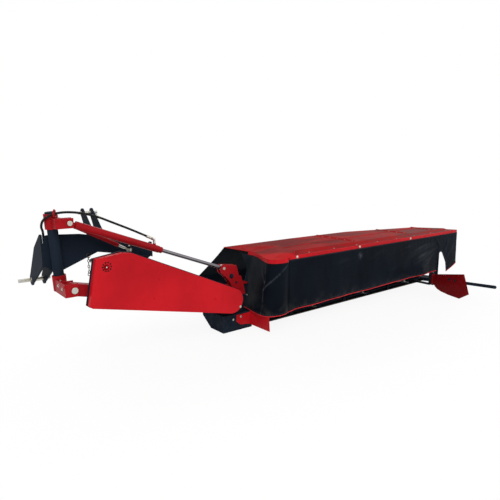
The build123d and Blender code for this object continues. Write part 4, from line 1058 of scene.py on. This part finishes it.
# Lamps: (name, place, target, share of the key lamp's power)
LAMPS = [("key_lamp", (-4.4, -5.8, 6.0), (-0.6, 0.2, 0.4), 1.0),
         ("fill_lamp", (4.5, -6.0, 3.5), (0.8, 0.2, 0.3), 0.35),
         ("back_lamp", (1.5, 6.5, 5.0), (0.0, 0.3, 0.5), 0.35)]
LAMP_SIZE = 5.0
SENSOR_WIDTH = 36.0


class MOWER_OT_stage(MowerOperator, bpy.types.Operator):
    """Sets up the finishes, the floor, the lamps and the camera"""
    bl_idname = "mower.stage"
    bl_label = "Stage and finishes"

    def execute(self, context):
        scene = context.scene
        studio = scene.mower_studio
        make_finishes(scene.mower_paint, scene.mower_cloth)
        scene.view_settings.view_transform = "Standard"
        self.make_world(scene, studio)
        self.make_floor()
        self.make_lamps(studio)
        self.make_camera(scene, studio)
        return {"FINISHED"}

    def seen(self, plan):
        """One where the camera, a reflection or a see-through ray looks."""
        camera, gloss, through = [plan.node("ShaderNodeLightPath", output=name)
                                  for name in ("Is Camera Ray", "Is Glossy Ray", "Is Transmission Ray")]
        return camera.maths("MAXIMUM", camera.maths("MAXIMUM", camera, gloss), through)

    def emptied(self, data):
        data.use_nodes = True
        data.node_tree.nodes.clear()
        return Plan(data.node_tree)

    def make_world(self, scene, studio):
        scene.world = bpy.data.worlds.new("studio air")
        plan = self.emptied(scene.world)
        strength = self.seen(plan) * (1.0 - studio.sky_level) + studio.sky_level
        shell = plan.node("ShaderNodeBackground", {"Color": WHITE, "Strength": strength})
        plan.node("ShaderNodeOutputWorld", {"Surface": shell})

    def make_floor(self):
        """Pale floor that keeps the object's shadow and runs out into white."""
        shape = bmesh.new()
        bmesh.ops.create_circle(shape, cap_ends=True, segments=64, radius=FLOOR_RADIUS)
        obj = linked("studio_floor", mesh_from(shape, "studio_floor"))
        obj.location.z = CAD_BOX[0][2] - 0.0005
        material = bpy.data.materials.new("pale floor")
        plan = self.emptied(material)
        grain = plan.node("ShaderNodeTexNoise", {"Scale": 3.0, "Detail": 4.0})
        pale = plan.mix(grain, (0.86, 0.86, 0.86, 1.0), (0.90, 0.90, 0.90, 1.0))
        matt = plan.node("ShaderNodeBsdfDiffuse", {"Color": pale})
        bright = plan.node("ShaderNodeEmission", {"Color": WHITE, "Strength": 1.0})
        place = plan.place((0.5, 1.0, 1.0))
        reach = plan.node("ShaderNodeVectorMath", {0: place}, "Value", operation="LENGTH")
        share = self.seen(plan) * plan.step(reach, 0.7, 1.6, 0.90, 1.0)
        surface = plan.node("ShaderNodeMixShader", {0: share, 1: matt, 2: bright})
        plan.node("ShaderNodeOutputMaterial", {"Surface": surface})
        obj.data.materials.append(material)

    def make_lamps(self, studio):
        for name, place, target, share in LAMPS:
            lamp = bpy.data.lights.new(name, "AREA")
            lamp.shape = "DISK"
            lamp.size = LAMP_SIZE
            lamp.energy = studio.key_power * share
            obj = linked(name, lamp)
            obj.location = place
            obj.rotation_euler = (Vector(target) - Vector(place)).to_track_quat("-Z", "Y").to_euler()

    def make_camera(self, scene, studio):
        data = bpy.data.cameras.new("photo_camera")
        data.lens = studio.lens
        data.sensor_width = SENSOR_WIDTH
        scene.camera = linked("photo_camera", data)
        scene.camera.location = studio.camera_place
        scene.camera.rotation_euler = (math.pi / 2 - studio.camera_pitch, 0.0, -studio.camera_heading)


class MOWER_OT_hose(MowerOperator, bpy.types.Operator):
    """Runs the lift hose from the cylinder's elbow over its loop to the coupler"""
    bl_idname = "mower.hose"
    bl_label = "Lift hose"

    def execute(self, context):
        hose = hose_curve("lift_hose_rubber")
        hose.data.materials.append(FINISHES["rubber"])
        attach(hose, "lift_barrel")
        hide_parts("lift_hose")
        coupler = dress("hose_coupler", "plated", 0.0008)
        near = Vector(HOSE_PATH[0])
        way = (Vector(HOSE_PATH[1]) - near).normalized()
        first = ferrule("hose_ferrule", near - way * 0.002, near + way * 0.042, 0.0108)
        last = Vector(HOSE_PATH[-1])
        second = ferrule("hose_end_ferrule", last + UP * 0.036, last, 0.0098)
        return {"FINISHED"}


class MOWER_OT_tarps(MowerOperator, bpy.types.Operator):
    """Hangs the four tarps round the hood, with their piping and stitches"""
    bl_idname = "mower.tarps"
    bl_label = "Tarps"

    def execute(self, context):
        for tarp in (rear_tarp, corner_tarp, front_tarp, outer_tarp):
            tarp(context.scene.mower_cloth.fold_depth)
        return {"FINISHED"}


HOOD_TOP = 0.670
# Places of the seams across the hood, and of the seam along it as (x, y)
HOOD_SEAMS = [0.565, 1.457, 1.970]
HOOD_LONG_SEAM = [(-0.28, 0.245), (0.565, 0.268), (1.457, 0.292), (1.98, 0.306)]
# Depths of the raised panel's rear and front edges, the front as (x, y)
HOOD_REAR = 0.082
HOOD_FRONT = [(0.0, 0.615), (1.06, 0.590), (2.007, 0.350)]
# Strip and rib of a seam across the hood, as (start, end, height)
HOOD_RIBS = [(-0.016, 0.004, 0.0032), (0.005, 0.011, 0.0085)]


class MOWER_OT_hood(MowerOperator, bpy.types.Operator):
    """Finishes the hood, its rim and its corner, with the seams between its panels"""
    bl_idname = "mower.hood"
    bl_label = "Hood"

    def execute(self, context):
        dress_all([("hood_top", "hood", 0.004), ("hood_rim", "guard", 0.0012),
                   ("hood_corner", "guard", 0.003), ("hood_frame", "black", 0.003)])
        low = HOOD_TOP - 0.0006
        shapes = []
        for x in HOOD_SEAMS:
            for near, far, height in HOOD_RIBS:
                shapes.append(box_mesh((x + near, HOOD_REAR, low),
                                       (x + far, table_value(HOOD_FRONT, x), HOOD_TOP + height)))
        for (near, y0), (far, y1) in zip(HOOD_LONG_SEAM[:-1], HOOD_LONG_SEAM[1:]):
            seam = box_mesh((near + 0.018, -0.004, low), (far - 0.020, 0.004, HOOD_TOP + 0.0030))
            for vert in seam.verts:
                vert.co.y += y0 + (y1 - y0) * (vert.co.x - near) / (far - near)
            shapes.append(seam)
        built("hood_seams", joined(shapes), "hood", "cutter_unit", flat=True)
        return {"FINISHED"}


# The guard's outer face, the ring of vents in it and the boss among them
GUARD_FACE = 0.103
VENT_MIDDLE = Vector((-1.968, GUARD_FACE, 0.742))
VENT_RING = 0.030
BOSS_MIDDLE = Vector((-1.9713, GUARD_FACE, 0.7403))


class MOWER_OT_guard(MowerOperator, bpy.types.Operator):
    """Finishes the belt guard, its casing and the input stub, with the ring of vents in the guard"""
    bl_idname = "mower.guard"
    bl_label = "Belt guard"

    def execute(self, context):
        dress_all([("belt_guard", "guard", 0.007), ("belt_casing", "black", 0.0015),
                   ("input_shaft", "plated", 0.0006)])
        # Painted shade: the vents are near-black flat discs on the guard's face, standing in for the shade
        # inside the holes.
        vent = [(-0.0006, 0.0058), (0.0002, 0.0060), (0.0006, 0.0052)]
        shapes = [lathe(vent, place, REAR, 14) for place in circle(VENT_MIDDLE, RIGHT, UP, VENT_RING, 10)]
        built("guard_vents", joined(shapes), "painted_hole_shade", "drive_arm")
        return {"FINISHED"}


class MOWER_OT_headstock(MowerOperator, bpy.types.Operator):
    """Finishes the headstock with its pivot post, lugs, mast and pins"""
    bl_idname = "mower.headstock"
    bl_label = "Headstock"

    def execute(self, context):
        dress_all([("stock_plate", "black", 0.002), ("pivot_post", "black", 0.003),
                   ("lugs_left", "black", 0.002), ("lugs_right", "black", 0.002),
                   ("mast", "black", 0.002), ("mast_pin", "plated", 0.001),
                   ("hitch_pin_left", "plated", 0.002), ("hitch_pin_right", "plated", 0.002),
                   ("far_pin", "plated", 0.0015)])
        return {"FINISHED"}


class MOWER_OT_lift(MowerOperator, bpy.types.Operator):
    """Finishes the swing frame, the drive arm, the lift cylinder and the break-away bar"""
    bl_idname = "mower.lift"
    bl_label = "Arm, cylinder and break-away bar"

    def execute(self, context):
        dress_all([("top_bracket", "arm", 0.002), ("low_bracket", "arm", 0.002), ("arm_beam", "arm", 0.004),
                   ("arm_pin", "plated", 0.0015), ("cylinder_pin", "plated", 0.0015),
                   ("break_pin", "plated", 0.0015), ("hose_loop", "arm", 0.0),
                   ("cylinder_barrel", "arm", 0.0015), ("cylinder_rod", "chrome", 0.0012),
                   ("break_tube", "arm", 0.0012), ("break_rod", "plated", 0.001)])
        return {"FINISHED"}


# The row of discs, and the rings of bolts on each
DISC_COUNT = 7
DISC_STEP = 0.383
DISC_START = -0.333
DISC_Y = 0.353
HUB_RING = 0.050
KNIFE_RING = 0.208


class MOWER_OT_cutting_unit(MowerOperator, bpy.types.Operator):
    """Finishes the cutter bar with its discs, skids, shoes and gearbox"""
    bl_idname = "mower.cutting_unit"
    bl_label = "Cutting unit"

    def execute(self, context):
        dress_all([("cutter_bar", "black", 0.003), ("skids", "worn", 0.001), ("inner_shoe", "black", 0.003),
                   ("gearbox", "black", 0.004), ("lift_bracket", "arm", 0.0018),
                   ("rod_eye_pin", "plated", 0.0015), ("outer_shoe", "black", 0.003)])
        dress_all([("disc_%d" % (index + 1), "disc", 0.0015) for index in range(DISC_COUNT)])
        return {"FINISHED"}


class MOWER_OT_swath_boards(MowerOperator, bpy.types.Operator):
    """Finishes the swath boards, the board's arm, hinge and stick"""
    bl_idname = "mower.swath_boards"
    bl_label = "Swath boards"

    def execute(self, context):
        dress_all([("inner_swath_board", "guard", 0.0012), ("swath_board", "board", 0.0012),
                   ("swath_arm", "black", 0.0015), ("swath_pin", "plated", 0.001),
                   ("swath_stick", "black", 0.0015)])
        return {"FINISHED"}


# Depth and height of the bolts along the rim
RIM = (-0.0262, 0.6345)
# Bolts seated on a node: (node, finish, rows of (x, y, z, way towards the surface, head size))
SEATED = [
    ("belt_guard", "guard", [(-1.583, 0.0, 0.597, FRONT, 0.0060), (-1.626, 0.0, 0.463, FRONT, 0.0060),
                             (-1.0965, 0.0, 0.3655, FRONT, 0.0060)]),
    ("belt_guard", "plated", [(-0.8477, 0.0, 0.2558, FRONT, 0.0075)]),
    ("low_bracket", "plated", [(-2.40, 0.3044, 0.6139, RIGHT, 0.0090), (-2.40, 0.2254, 0.6046, RIGHT, 0.0080),
                               (-2.204, 0.3523, 0.8, DOWN, 0.0080)]),
    ("low_bracket", "arm", [(-2.2271, 0.0, 0.6309, FRONT, 0.0075)]),
    ("top_bracket", "arm", [(-2.40, 0.3546, 1.045, RIGHT, 0.0080), (-2.2248, 0.0, 1.0526, FRONT, 0.0070)]),
    ("inner_shoe", "black", [(-1.2, 0.2658, 0.1368, RIGHT, 0.0090), (-1.2, 0.3639, 0.1333, RIGHT, 0.0090),
                             (-0.905, 0.0, 0.128, FRONT, 0.0085), (-0.855, 0.0, 0.060, FRONT, 0.0085)]),
    ("inner_shoe", "plated", [(-0.8287, 0.0, 0.1056, FRONT, 0.0065)]),
    ("inner_swath_board", "plated", [(-0.7503, 0.0, 0.1188, FRONT, 0.0075)]),
    # The larger black head with its washer stands in for a dark hole with a ring; its black is painted shade.
    ("lift_bracket", "black", [(-0.8208, 0.0, 0.4825, FRONT, 0.0150), (-0.770, 0.0, 0.420, FRONT, 0.0080)]),
    ("swath_board", "black", [(1.50, -0.3219, 0.1812, RIGHT, 0.0110),
                              (1.45, -0.4076, 0.1904, RIGHT, 0.0110)]),
    ("outer_shoe", "plated", [(2.60, 0.330, 0.040, LEFT, 0.0080), (2.60, 0.420, 0.040, LEFT, 0.0080)]),
]


class MOWER_OT_fasteners(MowerOperator, bpy.types.Operator):
    """Sets the bolts, washers and rivets where the machine has them"""
    bl_idname = "mower.fasteners"
    bl_label = "Fasteners"

    def execute(self, context):
        for node, finish, rows in SEATED:
            seated("%s_%s_bolts" % (node, finish), node, rows, finish)
        rivets = [(x, *RIM, REAR, 0.0050) for x in (-0.05, 0.24, 0.80, 1.09, 1.66, 1.95, 2.23)]
        fasteners("rim_rivets", "cutter_unit", rivets, "arm", rivet_graph)
        fasteners("rim_bolts", "cutter_unit", [(x, *RIM, REAR, 0.0085) for x in (-0.327, 0.519, 1.380)])
        top = [(x - 0.006, y, HOOD_TOP + 0.0031, UP, 0.0045) for x in HOOD_SEAMS
               for y in [0.10 + 0.10 * index for index in range(5)] if y < table_value(HOOD_FRONT, x) - 0.01]
        top += [(-0.15 + 0.33 * index, 0.005, 0.650, UP, 0.0052) for index in range(8)]
        fasteners("hood_rivets", "cutter_unit", top, maker=rivet_graph)
        bar = []
        for index in range(DISC_COUNT):
            x = DISC_START + DISC_STEP * index
            bar += [(x + side, y, 0.2, DOWN, 0.0065) for side in (-0.10, 0.10) for y in (0.262, 0.444)]
            self.disc_bolts("disc_%d" % (index + 1), Vector((x, DISC_Y, 0.3)), math.pi / 2 * (index % 2))
        seated("bar_bolts", "cutter_bar", bar, "black")
        return {"FINISHED"}

    def disc_bolts(self, node, above, turn):
        """Four bolts round the hub and one on each of the two knives."""
        side, up = axes_round(DOWN)
        rows = [(*place, DOWN, 0.0060) for place in circle(above, side, up, HUB_RING, 4, math.pi / 4)]
        rows += [(*place, DOWN, 0.0100) for place in circle(above, RIGHT, FRONT, KNIFE_RING, 2, turn)]
        seated(node + "_bolts", node, rows)


# Turned pieces on the guard: (name, finish, sides, profile of (distance out of the face, radius))
GUARD_TURNED = [
    # The boss takes the same darker red, a painted-shade copy of the guard red.
    ("guard_boss", "board", 28, [(-0.001, 0.020), (0.0012, 0.020), (0.0024, 0.017), (0.0028, 0.010)]),
    ("guard_stud", "plated", 16, [(0.0, 0.0052), (0.0052, 0.0052), (0.0066, 0.0034)]),
]
CHAIN_LINE = [(-1.9680, 0.448, 0.751), (-1.9690, 0.447, 0.700), (-1.9680, 0.448, 0.647)]
RING_WIRE = 0.0026
# Rings at the chain's ends: (name, height, radius)
CHAIN_RINGS = [("chain_ring", 0.767, 0.015), ("chain_end_ring", 0.630, 0.011)]
# Foot of the elbow on the cylinder's port, and its corner
PORT_RISER = Vector((-1.519, 0.293, 0.815))
PORT_CORNER = Vector((-1.519, 0.293, 0.862))
# Plate at the lift bracket: its outline, as (x, z), and its two faces' depths
GUSSET = [(-0.800, 0.470), (-0.712, 0.470), (-0.682, 0.380), (-0.664, 0.300), (-0.780, 0.300)]
GUSSET_DEPTHS = (0.272, 0.278)


class MOWER_OT_small_parts(MowerOperator, bpy.types.Operator):
    """Adds the chain, the port's elbow, the guard's boss, the gusset and the skids' filler plates"""
    bl_idname = "mower.small_parts"
    bl_label = "Small parts"

    def execute(self, context):
        self.chain(context.scene.mower_hardware)
        self.port()
        for name, finish, sides, profile in GUARD_TURNED:
            built(name, lathe(profile, BOSS_MIDDLE, REAR, sides), finish, "drive_arm")
        gusset = rounded(skinned([[(x, y, z) for x, z in GUSSET] for y in GUSSET_DEPTHS]), BOX_ROUNDING)
        built("bracket_gusset", gusset, "arm", "cutter_unit", flat=True)
        self.fillers()
        return {"FINISHED"}

    def chain(self, hardware):
        """Chain with a ring at each end."""
        repeated(link_graph, "safety_chain", line_mesh("safety_chain", CHAIN_LINE), "worn", "headstock",
                 hardware.link_length, hardware.link_wire)
        x, y, _ = CHAIN_LINE[0]
        for name, height, radius in CHAIN_RINGS:
            ring = circle(Vector((x, y, height)), Vector((1, 0.25, 0)), UP, radius, 24)
            built(name, tube(ring, RING_WIRE, True), "worn", "headstock")

    def port(self):
        """Plated elbow between the cylinder's port and the hose."""
        way = (Vector(HOSE_PATH[0]) - PORT_CORNER).normalized()
        shapes = [lathe([(0.0, 0.0105), (0.001, 0.0120), (0.013, 0.0120), (0.014, 0.0105)],
                        PORT_RISER, UP, 6),
                  lathe([(0.0, 0.0092), (0.042, 0.0092)], PORT_RISER, UP, 20),
                  lathe([(0.0, 0.0092), (0.016, 0.0092)], PORT_CORNER, way, 20),
                  lathe([(0.0, 0.0105), (0.001, 0.0120), (0.012, 0.0120), (0.013, 0.0105)],
                        PORT_CORNER + way * 0.010, way, 6)]
        built("port_elbow", joined(shapes), "plated", "lift_barrel", flat=True)

    def fillers(self):
        """Plates that close the gaps between the skids."""
        shapes = []
        for index in range(DISC_COUNT - 1):
            x = DISC_START + DISC_STEP * (index + 0.5)
            shapes.append(box_mesh((x - 0.0205, 0.228, 0.0085), (x + 0.0205, 0.2425, 0.052)))
            shapes.append(box_mesh((x - 0.0210, 0.230, 0.0010), (x + 0.0210, 0.310, 0.0084)))
        built("skid_fillers", joined(shapes), "black", "cutter_unit", flat=True)


class MOWER_PT_dressing(bpy.types.Panel):
    """Lists the pieces and their settings"""
    bl_label = "Disc mower"
    bl_idname = "MOWER_PT_dressing"
    bl_space_type = "VIEW_3D"
    bl_region_type = "UI"
    bl_category = "Mower"

    def draw(self, context):
        for name, group in GROUPS.items():
            box = self.layout.box()
            for key in group.__annotations__:
                box.prop(getattr(context.scene, name), key)
        for operator in OPERATORS:
            self.layout.operator(operator.bl_idname)


OPERATORS = [MOWER_OT_stage, MOWER_OT_hose, MOWER_OT_tarps, MOWER_OT_hood, MOWER_OT_guard,
             MOWER_OT_headstock, MOWER_OT_lift, MOWER_OT_cutting_unit, MOWER_OT_swath_boards,
             MOWER_OT_fasteners, MOWER_OT_small_parts]
GROUPS = {"mower_paint": PaintSettings, "mower_cloth": ClothSettings, "mower_hardware": HardwareSettings,
          "mower_studio": StudioSettings}
CLASSES = [*GROUPS.values(), *OPERATORS, MOWER_PT_dressing]


def register():
    for item in CLASSES:
        bpy.utils.register_class(item)
    for name, group in GROUPS.items():
        setattr(bpy.types.Scene, name, PointerProperty(type=group))


def unregister():
    for name in GROUPS:
        delattr(bpy.types.Scene, name)
    for item in reversed(CLASSES):
        bpy.utils.unregister_class(item)


def main():
    register()
    for operator in OPERATORS:
        group, name = operator.bl_idname.split(".")
        getattr(getattr(bpy.ops, group), name)()


if __name__ == "__main__":
    main()
